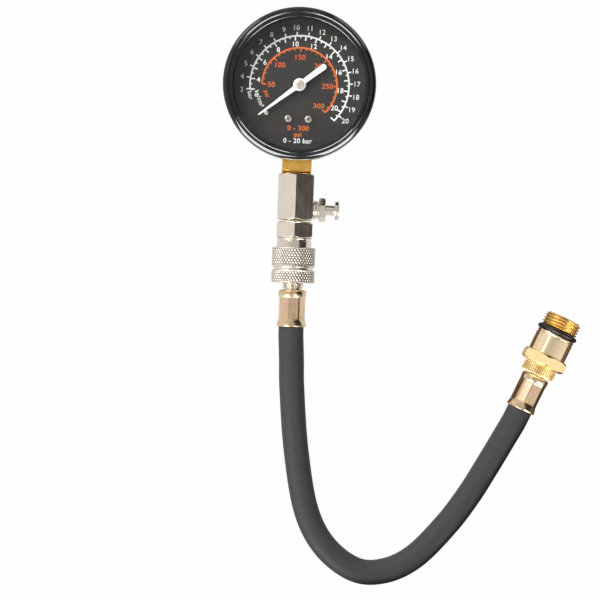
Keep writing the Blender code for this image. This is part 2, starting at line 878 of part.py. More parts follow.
def build_bourdon_tube(bronze, brass):
    steps = 18
    outer = tube_rings(tube_root_angle, tube_tip_angle, steps, tube_width, tube_tall)
    inner = tube_rings(
        tube_tip_angle, tube_root_angle, steps, tube_width - 2 * tube_wall, tube_tall - 2 * tube_wall
    )
    add("bourdon_tube", lofted(outer + inner, closed=True), bronze)

    start = tube_tip_angle - clearance / tube_radius
    middle = start - tip_length / 2 / tube_radius
    width, centre = tip_outer_reach - tip_inner_reach, (tip_outer_reach + tip_inner_reach) / 2
    low = link_height - clearance - tip_height
    place = {"rotation": (0, 0, middle)}
    tip = add(
        "tube_tip",
        prism(rectangle(width, tip_length - clearance, (centre, 0)), low, low + tip_height),
        brass,
        **place,
    )
    stud_end = link_height + link_thickness + clearance
    stud = cylinder(link_pin_radius, low + tip_height / 2, stud_end, tiny_round)
    join(tip, "tip_stud", stud, location=(*link_stud, 0))


def case_screw_frame(sign):
    """Where a case screw enters: its axis is a radius of the case, on the neck's level."""
    around = -math.pi / 2 + sign * case_screw_angle
    place = (case_radius * math.cos(around), case_radius * math.sin(around), stack_height)
    return {"location": place, "rotation": (0, math.pi / 2, around)}


def case_screw_holes(target):
    for side, sign in (("left", -1), ("right", 1)):
        hole = cylinder(
            case_screw_radius + clearance, -case_screw_length - 0.002, case_screw_head_height, tiny_round
        )
        cut(target, f"{target.name}_screw_hole_{side}", hole, **case_screw_frame(sign))


def build_stem_socket(brass, steel):
    bar = prism(chamfered_square(neck_width, neck_chamfer), socket_top, neck_end)
    socket = add("stem_socket", bar, brass, parent=stack_axis)
    shank_end = neck_end + shank_length
    shank = [
        (0, neck_end - shank_radius),
        (shank_radius, neck_end - shank_radius),
        (shank_radius, shank_end - 0.0006),
        (shank_radius - 0.0006, shank_end),
        (0, shank_end),
    ]
    join(socket, "socket_shank", spun(shank, small_round), parent=stack_axis)

    tongue_top = back_plate_height - clearance - stack_height
    tongue_middle = tongue_top - tongue_thickness / 2
    tongue = prism(
        rectangle(tongue_width, tongue_thickness, (0, tongue_middle)), tongue_reach, socket_top + neck_chamfer
    )
    join(socket, "socket_tongue", tongue, parent=stack_axis)
    wings = prism(rectangle(wing_span, wing_height), wing_near, wing_far)
    join(socket, "socket_wings", wings, parent=stack_axis)

    bar_top = stack_height + neck_width / 2
    boss_top = dial_height - clearance
    hole_floor = dial_top + clearance - dial_screw_length - clearance
    for side, sign in (("left", -1), ("right", 1)):
        place = {"location": (sign * dial_screw_offset, -dial_screw_drop, 0)}
        boss = cylinder(boss_radius, bar_top - boss_radius, boss_top, tiny_round)
        join(socket, f"dial_boss_{side}", boss, **place)
        hole = cylinder(dial_screw_radius + clearance, hole_floor, boss_top + boss_radius, tiny_round)
        cut(socket, f"dial_boss_hole_{side}", hole, **place)
    tongue_floor = stack_height + tongue_top - tongue_thickness
    for i, place in enumerate(movement_screw_places):
        hole = cylinder(
            movement_screw_radius + clearance, tongue_floor - clearance, back_plate_height, tiny_round
        )
        cut(socket, f"tongue_hole_{i}", hole, location=(*place, 0))

    pocket_end = tube_root_angle + clearance * 2 / tube_radius
    grown = 2 * clearance
    pocket = tube_rings(
        tube_root_angle - tube_width * 5 / tube_radius, pocket_end, 6, tube_width + grown, tube_tall + grown
    )
    cut(socket, "tube_pocket", lofted(pocket))
    tube_level = -tube_radius * math.sin(tube_root_angle)
    bore = cylinder(passage_radius, tube_level - passage_radius / 2, shank_end + passage_radius, tiny_round)
    cut(socket, "socket_passage", bore, parent=stack_axis)
    feed_reach = -tube_radius * math.cos(tube_root_angle)
    feed = cylinder(passage_radius / 2, 0, feed_reach, tiny_round)
    cut(
        socket,
        "tube_feed",
        feed,
        location=(0, -tube_level - passage_radius / 4, stack_height),
        rotation=(0, -math.pi / 2, 0),
    )
    case_screw_holes(socket)
    for side, sign in (("left", -1), ("right", 1)):
        bm = pan_screw(
            case_screw_radius, case_screw_length, case_screw_head_radius, case_screw_head_height
        )
        screw = add(f"case_screw_{side}", bm, steel, **case_screw_frame(sign))
        lift = clearance + case_radius
        around = -math.pi / 2 + sign * case_screw_angle
        screw.location = (lift * math.cos(around), lift * math.sin(around), stack_height)
        slot_cut(
            screw,
            f"case_screw_slot_{side}",
            case_screw_head_radius,
            case_screw_head_height,
            location=screw.location,
            rotation=screw.rotation_euler,
        )


# Manifold and release valve


def build_manifold(nickel):
    outer = hexagon_blank(hex_flats, manifold_start, manifold_end)
    upper = shank_radius + clearance
    upper_floor = neck_end + shank_length + shank_room
    lower_floor = manifold_end - lower_port_depth
    bores = [
        (lower_port_radius, manifold_end),
        (lower_port_radius, lower_floor),
        (passage_radius, lower_floor),
        (passage_radius, upper_floor),
        (upper, upper_floor),
        (upper, manifold_start),
    ]
    manifold = add("manifold", spun(outer + bores, medium_round, closed=True), nickel, parent=stack_axis)
    hexagon_cut(
        manifold, "manifold_flats", hex_flats, manifold_start - 0.001, manifold_end + 0.001, parent=stack_axis
    )
    port_floor = valve_body_start - valve_shank_length - clearance
    port_mouth = passage_radius * 0.4  # inside the passage, which it opens into
    port = [
        (0, port_mouth),
        (valve_chamber_radius, port_mouth),
        (valve_chamber_radius, port_floor),
        (valve_shank_radius + clearance, port_floor),
        (valve_shank_radius + clearance, hex_flats),
        (0, hex_flats),
    ]
    cut(manifold, "valve_port", spun(port, small_round), parent=valve_axis)


def build_release_valve(nickel, steel, rubber):
    shank_start = valve_body_start - valve_shank_length
    seat_end = valve_seat_start + valve_seat_thickness
    hexagon = hexagon_blank(valve_hex_flats, valve_hex_start, valve_hex_end)
    profile = [
        (valve_chamber_radius, shank_start),
        (valve_shank_radius, shank_start),
        (valve_shank_radius, valve_body_start),
        (valve_neck_radius, valve_body_start),
        (valve_neck_radius, valve_hex_start),
    ]
    profile += hexagon
    profile += [
        (valve_chamber_radius, valve_hex_end),
        (valve_chamber_radius, seat_end),
        (valve_seat_hole, seat_end),
        (valve_seat_hole, valve_seat_start),
        (valve_chamber_radius, valve_seat_start),
    ]
    body = add("valve_body", spun(profile, small_round, closed=True), nickel, parent=valve_axis)
    hexagon_cut(
        body,
        "valve_flats",
        valve_hex_flats,
        valve_hex_start - 0.0005,
        valve_hex_end + 0.001,
        valve_hex_turn,
        parent=valve_axis,
    )

    head_start = valve_hex_end + button_travel + button_room
    head_end = head_start + button_height
    shoulder = valve_hex_end - button_stem_hidden
    disc_end = valve_disc_start + valve_disc_thickness
    plunger = [
        (0, valve_disc_start),
        (valve_disc_radius, valve_disc_start),
        (valve_disc_radius, disc_end),
        (button_rod_radius, disc_end),
        (button_rod_radius, shoulder),
        (button_stem_radius, shoulder),
        (button_stem_radius, head_start),
        (button_radius * 0.93, head_start),
        (button_radius, head_start + button_height * 0.25),
        (button_radius, head_end - button_height * 0.25),
        (button_radius * 0.88, head_end),
        (0, head_end),
    ]
    add("valve_plunger", spun(plunger, small_round), nickel, parent=valve_axis)
    spring_radius = button_stem_radius - 2 * valve_wire_radius
    bm = coil(
        spring_radius, valve_wire_radius, seat_end + clearance, shoulder - clearance, valve_spring_turns
    )
    add("valve_spring", bm, steel, parent=valve_axis)
    seal_start = disc_end + clearance
    seal_end = seal_start + valve_seal_thickness
    bore = button_rod_radius + clearance
    seal = [(bore, seal_start), (valve_disc_radius, seal_start), (valve_disc_radius, seal_end), (bore, seal_end)]
    add("valve_seal", spun(seal, tiny_round, closed=True), rubber, parent=valve_axis)


# Quick coupler


def build_coupler_body(nickel):
    hexagon_end = coupler_hex_start + coupler_hex_length
    stub_start = coupler_hex_start - coupler_stub_length
    bore = plug_nose_radius + clearance
    groove_half = coupler_seal_thickness / 2 + clearance
    ring_start = sleeve_land_end + clearance
    ring_end = ring_start + ring_thickness
    ring_seat = coupler_nose_radius - 2 * clearance
    profile = [(coupler_stub_radius, stub_start), (coupler_stub_radius, coupler_hex_start)]
    profile += hexagon_blank(hex_flats, coupler_hex_start, hexagon_end)
    profile += [
        (coupler_neck_radius, hexagon_end),
        (coupler_neck_radius, coupler_neck_end),
        (coupler_nose_radius, coupler_neck_end),
        (coupler_nose_radius, ring_start - clearance / 2),
        (ring_seat, ring_start - clearance / 2),
        (ring_seat, ring_end + clearance / 2),
        (coupler_nose_radius, ring_end + clearance / 2),
        (coupler_nose_radius, coupler_nose_end),
        (bore, coupler_nose_end),
        (bore, coupler_seal_place + groove_half),
        (coupler_seal_groove_radius, coupler_seal_place + groove_half),
        (coupler_seal_groove_radius, coupler_seal_place - groove_half),
        (bore, coupler_seal_place - groove_half),
        (bore, coupler_bore_start),
        (passage_radius, coupler_bore_start),
        (passage_radius, stub_start),
    ]
    body = add("coupler_body", spun(profile, medium_round, closed=True), nickel, parent=stack_axis)
    hexagon_cut(
        body,
        "coupler_flats",
        hex_flats,
        coupler_hex_start - 0.0005,
        hexagon_end + 0.0005,
        parent=stack_axis,
    )
    ball_hole = ball_radius + clearance
    for i in range(ball_count // 2):
        turn = math.pi / 4 + i * math.tau / ball_count
        cut(
            body,
            f"ball_hole_{i + 1}",
            cylinder(ball_hole, -coupler_neck_radius, coupler_neck_radius, tiny_round),
            parent=stack_axis,
            location=(0, 0, ball_place),
            rotation=(math.pi / 2, 0, turn),
        )


def build_coupler_sleeve(nickel):
    inner = coupler_neck_radius + clearance
    chamfer = sleeve_edge_chamfer
    edge = sleeve_radius - chamfer
    profile = [
        (inner, sleeve_start),
        (edge, sleeve_start),
        (sleeve_radius, sleeve_start + chamfer),
        (sleeve_radius, sleeve_groove_start - chamfer),
        (sleeve_groove_radius, sleeve_groove_start),
        (sleeve_groove_radius, sleeve_groove_end),
        (sleeve_radius, sleeve_groove_end + chamfer),
        (sleeve_radius, sleeve_end - chamfer),
        (edge, sleeve_end),
        (inner, sleeve_end),
        (inner, sleeve_land_end),
        (sleeve_land_radius, sleeve_land_end),
        (sleeve_land_radius, sleeve_land_start),
        (inner, sleeve_land_start),
    ]
    add("coupler_sleeve", spun(profile, medium_round, closed=True), nickel, parent=stack_axis)


def build_coupler_parts(steel, rubber):
    lock_radius = sleeve_land_radius - clearance - ball_radius
    for i in range(ball_count):
        turn = math.pi / 4 + i * math.tau / ball_count
        bm = bmesh.new()
        bmesh.ops.create_icosphere(bm, subdivisions=2, radius=ball_radius)
        place = (lock_radius * math.cos(turn), lock_radius * math.sin(turn), ball_place)
        add(f"coupler_ball_{i + 1}", bm, steel, parent=stack_axis, location=place)
    spring_radius = (coupler_nose_radius + coupler_neck_radius + clearance) / 2
    bm = coil(
        spring_radius,
        coupler_wire_radius,
        coupler_neck_end + clearance,
        sleeve_land_start - clearance,
        coupler_spring_turns,
        steps=10,
    )
    add("coupler_spring", bm, steel, parent=stack_axis)

    low = sleeve_land_end + clearance
    high = low + ring_thickness
    inner = coupler_nose_radius - clearance
    section = [(inner, low), (ring_outer_radius, low), (ring_outer_radius, high), (inner, high)]
    ring = add("coupler_snap_ring", spun(section, small_round, closed=True), steel, parent=stack_axis)
    gap = prism(rectangle(ring_outer_radius, 0.0016, (ring_outer_radius, 0)), low - 0.001, high + 0.001)
    cut(ring, "snap_ring_gap", gap, parent=stack_axis)

    inner = plug_nose_radius + clearance
    outer = coupler_seal_groove_radius - clearance
    middle, radius = (inner + outer) / 2, (outer - inner) / 2
    squash = coupler_seal_thickness / 2 / radius
    seal = [
        (middle + x, coupler_seal_place + y * squash) for x, y in circle(radius, 6)
    ]
    add("coupler_seal", spun(seal, small_round, closed=True), rubber, parent=stack_axis)


# Plug, hose and ferrules


def barbs(tip, root):
    """A hose barb's profile from its tip back to its root, as saw teeth; heights may run either way."""
    way = 1 if root > tip else -1
    count = int(abs(root - tip) / barb_pitch)
    points = [(barb_root_radius, tip)]
    for i in range(count):
        crest = tip + way * barb_pitch * (i + 0.8)
        points += [(barb_radius, crest), (barb_root_radius, crest + way * barb_pitch * 0.1)]
    return points


def build_plug(nickel):
    nose_start = coupler_bore_start + clearance
    ball_gap = ball_radius + clearance
    groove_floor = plug_groove_floor / 2
    barb_tip = ferrule_start + ferrule_length - hose_insertion - clearance
    barb_root = ferrule_start + ferrule_wall * 2
    profile = [
        (barb_bore_radius, nose_start),
        (plug_nose_radius - 0.0006, nose_start),
        (plug_nose_radius, nose_start + 0.0006),
        (plug_nose_radius, ball_place - ball_gap),
        (plug_groove_radius, ball_place - groove_floor),
        (plug_groove_radius, ball_place + groove_floor),
        (plug_nose_radius, ball_place + ball_gap),
        (plug_nose_radius, plug_flange_start),
        (plug_flange_radius, plug_flange_start),
        (plug_flange_radius, plug_flange_end),
        (barb_neck_radius, plug_flange_end),
        (barb_neck_radius, barb_root),
    ]
    profile += reversed(barbs(barb_tip, barb_root))
    profile.append((barb_bore_radius, barb_tip))
    add("plug", spun(profile, small_round, closed=True), nickel, parent=stack_axis)


def crimped_ring(radius, height, crimped, count):
    """A ring of the ferrule; the press leaves flats on it where it is crimped."""
    points = []
    for i in range(count):
        turn = math.tau * (i + 0.5) / count
        reach = radius
        if crimped:
            from_flat = (turn + math.pi / crimp_flats) % (math.tau / crimp_flats) - math.pi / crimp_flats
            reach = min(radius, ferrule_crimp_flat / math.cos(from_flat))
        points.append((reach * math.cos(turn), reach * math.sin(turn), height))
    return points


def ferrule(name, material, parent, mouth, way):
    """A crimped ferrule; its mouth is on the axis at the given height and its shoulder lies the given way."""
    edge = 0.0004
    flare_end = ferrule_flare_length
    crimp_end = ferrule_length - ferrule_shoulder_length
    outside = [
        (ferrule_flare_radius - edge, 0, False),
        (ferrule_flare_radius, edge, False),
        (ferrule_flare_radius, flare_end * 0.5, False),
        (ferrule_crimp_radius, flare_end, False),
        (ferrule_crimp_radius, flare_end + 2 * edge, True),
        (ferrule_crimp_radius, crimp_end - 2 * edge, True),
        (ferrule_crimp_radius, crimp_end, False),
        (ferrule_shoulder_radius, crimp_end + edge, False),
        (ferrule_shoulder_radius, ferrule_length - edge, False),
        (ferrule_shoulder_radius - edge, ferrule_length, False),
    ]
    hole = barb_neck_radius + clearance
    bore = ferrule_crimp_flat - ferrule_wall
    mouth_radius = hose_radius + clearance
    inside = [
        (hole, ferrule_length),
        (hole, ferrule_length - 2 * ferrule_wall),
        (bore, ferrule_length - 2 * ferrule_wall),
        (bore, hose_insertion + clearance),
        (mouth_radius, hose_insertion + clearance),
        (mouth_radius, 0),
    ]
    rows = outside + [(radius, depth, False) for radius, depth in inside]
    rings = [crimped_ring(radius, mouth + way * depth, crimped, medium_round) for radius, depth, crimped in rows]
    add(name, lofted(rings, closed=True), material, parent=parent)


def smooth_route(points):
    """A smooth line through the route's points, as close steps of a Catmull-Rom curve."""
    padded = [points[0] * 2 - points[1]] + points + [points[-1] * 2 - points[-2]]
    line = []
    for a, b, c, d in zip(padded, padded[1:], padded[2:], padded[3:]):
        for i in range(12):
            t = i / 12
            line.append(
                0.5
                * (2 * b + (c - a) * t + (2 * a - 5 * b + 4 * c - d) * t**2 + (3 * b - a - 3 * c + d) * t**3)
            )
    line.append(points[-1])
    return line


def spaced(line, spacing):
    """Points at even distances along a line, both ends included."""
    reach = [0.0]
    for near, far in zip(line, line[1:]):
        reach.append(reach[-1] + (far - near).length)
    count = round(reach[-1] / spacing)
    points = []
    for i in range(count + 1):
        goal = reach[-1] * i / count
        index = next(j for j in range(1, len(reach)) if reach[j] >= goal - 1e-9)
        share = (goal - reach[index - 1]) / (reach[index] - reach[index - 1])
        points.append(line[index - 1].lerp(line[index], share))
    return points


def build_hose(rubber):
    way = Vector((math.sin(end_axis_turn), math.cos(end_axis_turn), 0))
    first = Vector((0, -(ferrule_start + ferrule_length - hose_insertion), stack_height))
    last = end_axis_start + way * hose_insertion
    route = [Vector(point) for point in hose_route]
    route.append(end_axis_start - way * hose_radius)
    points = [first] + spaced(smooth_route(route), hose_point_spacing) + [last]
    curve = bpy.data.curves.new("hose", "CURVE")
    curve.dimensions = "3D"
    curve.bevel_depth = hose_radius
    curve.bevel_resolution = 4
    curve.use_fill_caps = True
    spline = curve.splines.new("POLY")
    spline.points.add(len(points) - 1)
    for control, point in zip(spline.points, points):
        control.co = (*point, 1.0)
    curve.materials.append(rubber)
    hose = bpy.data.objects.new("hose", curve)
    bpy.context.collection.objects.link(hose)


# Hose end


def build_hose_end_stem(brass):
    barb_tip = hose_insertion + clearance
    barb_root = ferrule_length - ferrule_wall * 2
    profile = barbs(barb_tip, barb_root)
    profile += [
        (barb_neck_radius, barb_root),
        (barb_neck_radius, collar_start),
        (stem_nose_radius, collar_start),
        (stem_nose_radius, stem_nose_end - 0.0006),
        (stem_nose_radius - 0.0006, stem_nose_end),
        (0, stem_nose_end),
    ]
    stem = add("hose_end_stem", spun([(0, barb_tip)] + profile, small_round), brass, parent=end_axis)

    def toothed(radius, height):
        points = []
        for i in range(2 * collar_teeth):
            turn = math.pi * i / collar_teeth
            reach = radius - (i % 2) * collar_tooth_depth
            points.append((reach * math.cos(turn), reach * math.sin(turn), height))
        return points

    slope = 2 * collar_tooth_depth
    rings = [
        toothed(collar_radius - slope, collar_start),
        toothed(collar_radius, collar_start + slope),
        toothed(collar_radius, collar_end - slope),
        toothed(collar_radius - slope, collar_end),
    ]
    join(stem, "knurled_collar", lofted(rings), parent=end_axis)
    bores = [
        (0, 0),
        (barb_bore_radius, 0),
        (barb_bore_radius, valve_pocket_start),
        (valve_pocket_radius, valve_pocket_start),
        (valve_pocket_radius, stem_nose_end + valve_pocket_radius),
        (0, stem_nose_end + valve_pocket_radius),
    ]
    cut(stem, "stem_bores", spun(bores, small_round), parent=end_axis)


def build_adapter(brass):
    pocket = stem_nose_radius + clearance
    pocket_end = stem_nose_end + stem_seal_thickness + 2 * clearance
    groove_start = barrel_end
    profile = [(pocket, adapter_start)]
    profile += hexagon_blank(adapter_flats, adapter_start, barrel_start)
    profile += [
        (barrel_radius, barrel_start),
        (barrel_radius, groove_start - 0.0004),
        (barrel_radius - 0.0004, groove_start),
        (o_ring_groove_radius, groove_start),
        (o_ring_groove_radius, thread_start),
        (thread_radius - thread_chamfer / 2, thread_start),
        (thread_radius, thread_start + thread_chamfer / 2),
        (thread_radius, thread_end - thread_chamfer),
        (thread_radius - thread_chamfer, thread_end),
        (adapter_bore_radius, thread_end),
        (adapter_bore_radius, pocket_end),
        (pocket, pocket_end),
    ]
    adapter = add("adapter", spun(profile, medium_round, closed=True), brass, parent=end_axis)
    hexagon_cut(
        adapter,
        "adapter_flats_cut",
        adapter_flats,
        adapter_start - 0.001,
        barrel_start + 0.0005,
        parent=end_axis,
    )


def build_end_seals(rubber):
    centre = (o_ring_outer_radius - o_ring_radius, (barrel_end + thread_start) / 2)
    ring = arc(centre, o_ring_radius - clearance / 3, 0, math.tau, 8)[:-1]
    add("adapter_o_ring", spun(ring, medium_round, closed=True), rubber, parent=end_axis)
    low = stem_nose_end + clearance
    high = low + stem_seal_thickness
    inner, outer = adapter_bore_radius + clearance, stem_nose_radius - clearance
    section = [(inner, low), (outer, low), (outer, high), (inner, high)]
    add("stem_seal", spun(section, small_round, closed=True), rubber, parent=end_axis)


def build_check_valve(brass, steel):
    core_end = core_start + core_length
    floor = core_start + core_floor
    hole = pin_radius + clearance
    core = [
        (hole, core_start),
        (core_radius, core_start),
        (core_radius, core_end),
        (core_pocket_radius, core_end),
        (core_pocket_radius, floor),
        (hole, floor),
    ]
    add("check_valve_core", spun(core, small_round, closed=True), brass, parent=end_axis)
    disc_end = pin_start + pin_disc_thickness
    collar_top = pin_collar_start + pin_collar_thickness
    pin = [
        (0, pin_start),
        (pin_disc_radius, pin_start),
        (pin_disc_radius, disc_end),
        (pin_radius, disc_end),
        (pin_radius, pin_collar_start),
        (pin_collar_radius, pin_collar_start),
        (pin_collar_radius, collar_top),
        (pin_radius, collar_top),
        (pin_radius, pin_end),
        (0, pin_end),
    ]
    add("check_valve_pin", spun(pin, tiny_round), steel, parent=end_axis)
    mean = (pin_radius + clearance + core_pocket_radius - clearance) / 2
    bm = coil(
        mean, pin_wire_radius, floor + clearance, pin_collar_start - clearance, pin_spring_turns
    )
    add("check_valve_spring", bm, steel, parent=end_axis)


def build_all():
    global stack_axis, valve_axis, end_axis
    clear_scene()
    quarter = math.pi / 2
    stack_axis = axis_empty("stack_axis", (0, 0, stack_height), (quarter, 0, 0))
    valve_axis = axis_empty("valve_axis", (0, -valve_offset, stack_height), (0, quarter, 0))
    end_axis = axis_empty("end_axis", end_axis_start, (-quarter, 0, -end_axis_turn))

    black_enamel = finish_material("black_enamel", (0.012, 0.012, 0.013), 0.16)
    black_case = finish_material("black_case", (0.02, 0.02, 0.021), 0.35)
    dial_black = finish_material("dial_black", (0.045, 0.04, 0.037), 0.5)
    pointer_white = finish_material("pointer_white", (0.86, 0.87, 0.84), 0.35)
    glass = finish_material("window_glass", (0.95, 0.97, 0.97), 0.03, transmission=1.0)
    black_rubber = finish_material("black_rubber", (0.03, 0.028, 0.027), 0.6)
    hose_rubber = finish_material("hose_rubber", (0.07, 0.068, 0.072), 0.55)
    nickel = finish_material("nickel", (0.72, 0.68, 0.62), 0.18, 1.0)
    steel = finish_material("steel", (0.62, 0.61, 0.59), 0.25, 1.0)
    neck_brass = finish_material("neck_brass", (0.6, 0.36, 0.12), 0.35, 1.0)
    brass = finish_material("brass", (0.78, 0.55, 0.25), 0.25, 1.0)
    ferrule_gold = finish_material("ferrule_gold", (0.75, 0.6, 0.36), 0.3, 1.0)
    bronze = finish_material("phosphor_bronze", (0.62, 0.36, 0.18), 0.3, 1.0)

    build_case(black_case)
    build_bezel(black_enamel)
    build_window(glass, black_rubber)
    build_dial(dial_black, steel)
    build_pointer(pointer_white, nickel)
    build_pinion(brass)
    build_sector(brass)
    build_link(brass, steel)
    build_movement_frame(brass, steel)
    build_hairspring(bronze)
    build_bourdon_tube(bronze, brass)
    build_stem_socket(neck_brass, steel)
    build_manifold(nickel)
    build_release_valve(nickel, steel, black_rubber)
    build_coupler_body(nickel)
    build_coupler_sleeve(nickel)
    build_coupler_parts(steel, black_rubber)
    build_plug(nickel)
    ferrule("plug_ferrule", ferrule_gold, stack_axis, ferrule_start + ferrule_length, -1)
    build_hose(hose_rubber)
    ferrule("end_ferrule", ferrule_gold, end_axis, 0, 1)
    build_hose_end_stem(brass)
    build_adapter(brass)
    build_end_seals(black_rubber)
    build_check_valve(brass, steel)


build_all()
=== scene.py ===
import json
import math

import bmesh
import bpy
from mathutils import Matrix, Vector

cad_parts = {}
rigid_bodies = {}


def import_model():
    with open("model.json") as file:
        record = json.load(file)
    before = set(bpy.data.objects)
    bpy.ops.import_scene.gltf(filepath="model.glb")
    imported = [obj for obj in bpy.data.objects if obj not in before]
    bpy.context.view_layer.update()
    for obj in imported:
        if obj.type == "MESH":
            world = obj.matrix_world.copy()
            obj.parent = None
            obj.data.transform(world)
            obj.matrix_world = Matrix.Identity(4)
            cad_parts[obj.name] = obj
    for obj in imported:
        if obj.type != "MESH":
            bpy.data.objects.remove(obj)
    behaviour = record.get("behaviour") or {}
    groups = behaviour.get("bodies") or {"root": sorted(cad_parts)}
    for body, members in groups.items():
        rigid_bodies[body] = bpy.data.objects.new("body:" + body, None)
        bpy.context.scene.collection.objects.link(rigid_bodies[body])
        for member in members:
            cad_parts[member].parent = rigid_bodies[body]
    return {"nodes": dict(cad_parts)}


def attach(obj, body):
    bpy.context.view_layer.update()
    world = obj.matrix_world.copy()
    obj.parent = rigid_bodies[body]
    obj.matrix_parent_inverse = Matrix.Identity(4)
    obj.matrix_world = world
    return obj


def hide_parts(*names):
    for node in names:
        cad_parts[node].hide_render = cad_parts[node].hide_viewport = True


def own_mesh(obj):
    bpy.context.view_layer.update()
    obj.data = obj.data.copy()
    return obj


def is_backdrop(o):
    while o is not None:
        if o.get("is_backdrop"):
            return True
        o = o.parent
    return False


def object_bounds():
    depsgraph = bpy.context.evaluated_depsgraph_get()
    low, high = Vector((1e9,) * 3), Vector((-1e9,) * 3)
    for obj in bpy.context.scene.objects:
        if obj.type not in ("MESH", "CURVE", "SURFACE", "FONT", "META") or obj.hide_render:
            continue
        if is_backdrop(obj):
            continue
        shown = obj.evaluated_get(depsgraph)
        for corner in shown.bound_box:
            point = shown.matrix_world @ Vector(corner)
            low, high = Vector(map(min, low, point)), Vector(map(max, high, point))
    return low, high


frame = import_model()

low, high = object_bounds()
print("frame loaded")

# Places of the tester's straight parts, as in the solids (metres)
places = {
    "stackHeight": 0.011,  # the fittings' axis over the bench, running down the picture
    "valveDrop": 0.0581,  # the release valve sticks out of the block here
    "endStart": (0.1105, -0.1498, 0.011836),  # mouth of the ferrule at the hose's far end
    "endTurn": -24.07,  # degrees, how far the adapter leans to the right
    "plugMouth": 0.1143,  # mouth of the plug's ferrule, along the fittings' axis
}
stackFrame = Matrix.Translation((0, 0, places["stackHeight"])) @ Matrix.Rotation(math.pi / 2, 4, "X")
valveFrame = (
    Matrix.Translation((0, -places["valveDrop"], places["stackHeight"]))
    @ Matrix.Rotation(math.pi / 2, 4, "Y")
)
endFrame = (
    Matrix.Translation(places["endStart"])
    @ Matrix.Rotation(math.radians(places["endTurn"]), 4, "Z")
    @ Matrix.Rotation(-math.pi / 2, 4, "X")
)
dialFrame = Matrix.Identity(4)


def addObject(name, data):
    holder = bpy.data.objects.new(name, data)
    bpy.context.scene.collection.objects.link(holder)
    return holder


# Camera: straight over the tester, with a long lens
cameraValues = {"place": (0.00377, -0.10143, 0.85), "turn": 2.0, "lens": 105.3}
cameraData = bpy.data.cameras.new("camera")
cameraData.lens = cameraValues["lens"]
cameraData.sensor_width = 36
cameraData.clip_start = 0.01
camera = addObject("camera", cameraData)
camera.location = cameraValues["place"]
camera.rotation_euler = (0, 0, math.radians(cameraValues["turn"]))
bpy.context.scene.camera = camera


# Node tools
def newMaterial(name):
    material = bpy.data.materials.new(name)
    material.use_nodes = True
    tree = material.node_tree
    return material, tree, tree.nodes["Principled BSDF"]


def addNode(tree, kind, **settings):
    node = tree.nodes.new(kind)
    for setting, value in settings.items():
        setattr(node, setting, value)
    return node


def feed(tree, value, socket):  # an output is linked, a number or a colour is set
    if isinstance(value, bpy.types.NodeSocket):
        tree.links.new(value, socket)
    else:
        socket.default_value = value


def mathNode(tree, operation, first, second=None, clamp=False):
    node = addNode(tree, "ShaderNodeMath", operation=operation, use_clamp=clamp)
    for socket, value in zip(node.inputs, (first, second)):
        if value is not None:
            feed(tree, value, socket)
    return node.outputs[0]


def noiseNode(tree, vector, scale, detail, distortion=0.0):
    node = addNode(tree, "ShaderNodeTexNoise")
    for name, value in (("Vector", vector), ("Scale", scale), ("Detail", detail), ("Distortion", distortion)):
        feed(tree, value, node.inputs[name])
    return node.outputs[0]


def rangeNode(tree, value, fromLow, fromHigh, toLow, toHigh, smooth=True):
    node = addNode(tree, "ShaderNodeMapRange")
    node.interpolation_type = "SMOOTHSTEP" if smooth else "LINEAR"
    tree.links.new(value, node.inputs["Value"])
    for socket, number in zip(("From Min", "From Max", "To Min", "To Max"), (fromLow, fromHigh, toLow, toHigh)):
        feed(tree, number, node.inputs[socket])
    return node.outputs["Result"]


def mixColours(tree, share, first, second):
    node = addNode(tree, "ShaderNodeMix", data_type="RGBA")
    for index, value in ((0, share), (6, first), (7, second)):
        feed(tree, (*value, 1) if isinstance(value, tuple) else value, node.inputs[index])
    return node.outputs[2]


def overlay(tree, colour, mask, share, second):  # a share of a second colour, where the mask is
    return mixColours(tree, mathNode(tree, "MULTIPLY", mask, share), colour, second)


def placeGroup(tree, group, vector, **values):
    node = addNode(tree, "ShaderNodeGroup", node_tree=group)
    tree.links.new(vector, node.inputs["Vector"])
    for name, value in values.items():
        node.inputs[name].default_value = value
    return node


def bumpFrom(tree, height, shader, values):
    bump = addNode(tree, "ShaderNodeBump")
    bump.inputs["Strength"].default_value = values["bump"]
    bump.inputs["Distance"].default_value = values.get("depth", 0.00002)
    tree.links.new(height, bump.inputs["Height"])
    tree.links.new(bump.outputs["Normal"], shader.inputs["Normal"])


# Effects shared by several materials: each takes a place and some numbers
def newEffect(name, numbers, results):
    group = bpy.data.node_groups.new(name, "ShaderNodeTree")
    group.interface.new_socket(name="Vector", in_out="INPUT", socket_type="NodeSocketVector")
    for socketName, value in numbers.items():
        socket = group.interface.new_socket(name=socketName, in_out="INPUT", socket_type="NodeSocketFloat")
        socket.default_value = value
    for socketName in results:
        group.interface.new_socket(name=socketName, in_out="OUTPUT", socket_type="NodeSocketFloat")
    return group, addNode(group, "NodeGroupInput").outputs, addNode(group, "NodeGroupOutput").inputs


# Fine grain: two sizes of noise, for castings, enamel and rubber
grainGroup, given, wanted = newEffect(
    "fine grain", {"Scale": 900.0, "Coarse Scale": 120.0}, ["Height", "Mask"]
)
tree = grainGroup
fine = noiseNode(tree, given["Vector"], given["Scale"], 3)
coarse = noiseNode(tree, given["Vector"], given["Coarse Scale"], 2)
tree.links.new(mathNode(tree, "ADD", fine, mathNode(tree, "MULTIPLY", coarse, 0.6)), wanted["Height"])
tree.links.new(rangeNode(tree, coarse, 0.38, 0.62, 0, 1), wanted["Mask"])


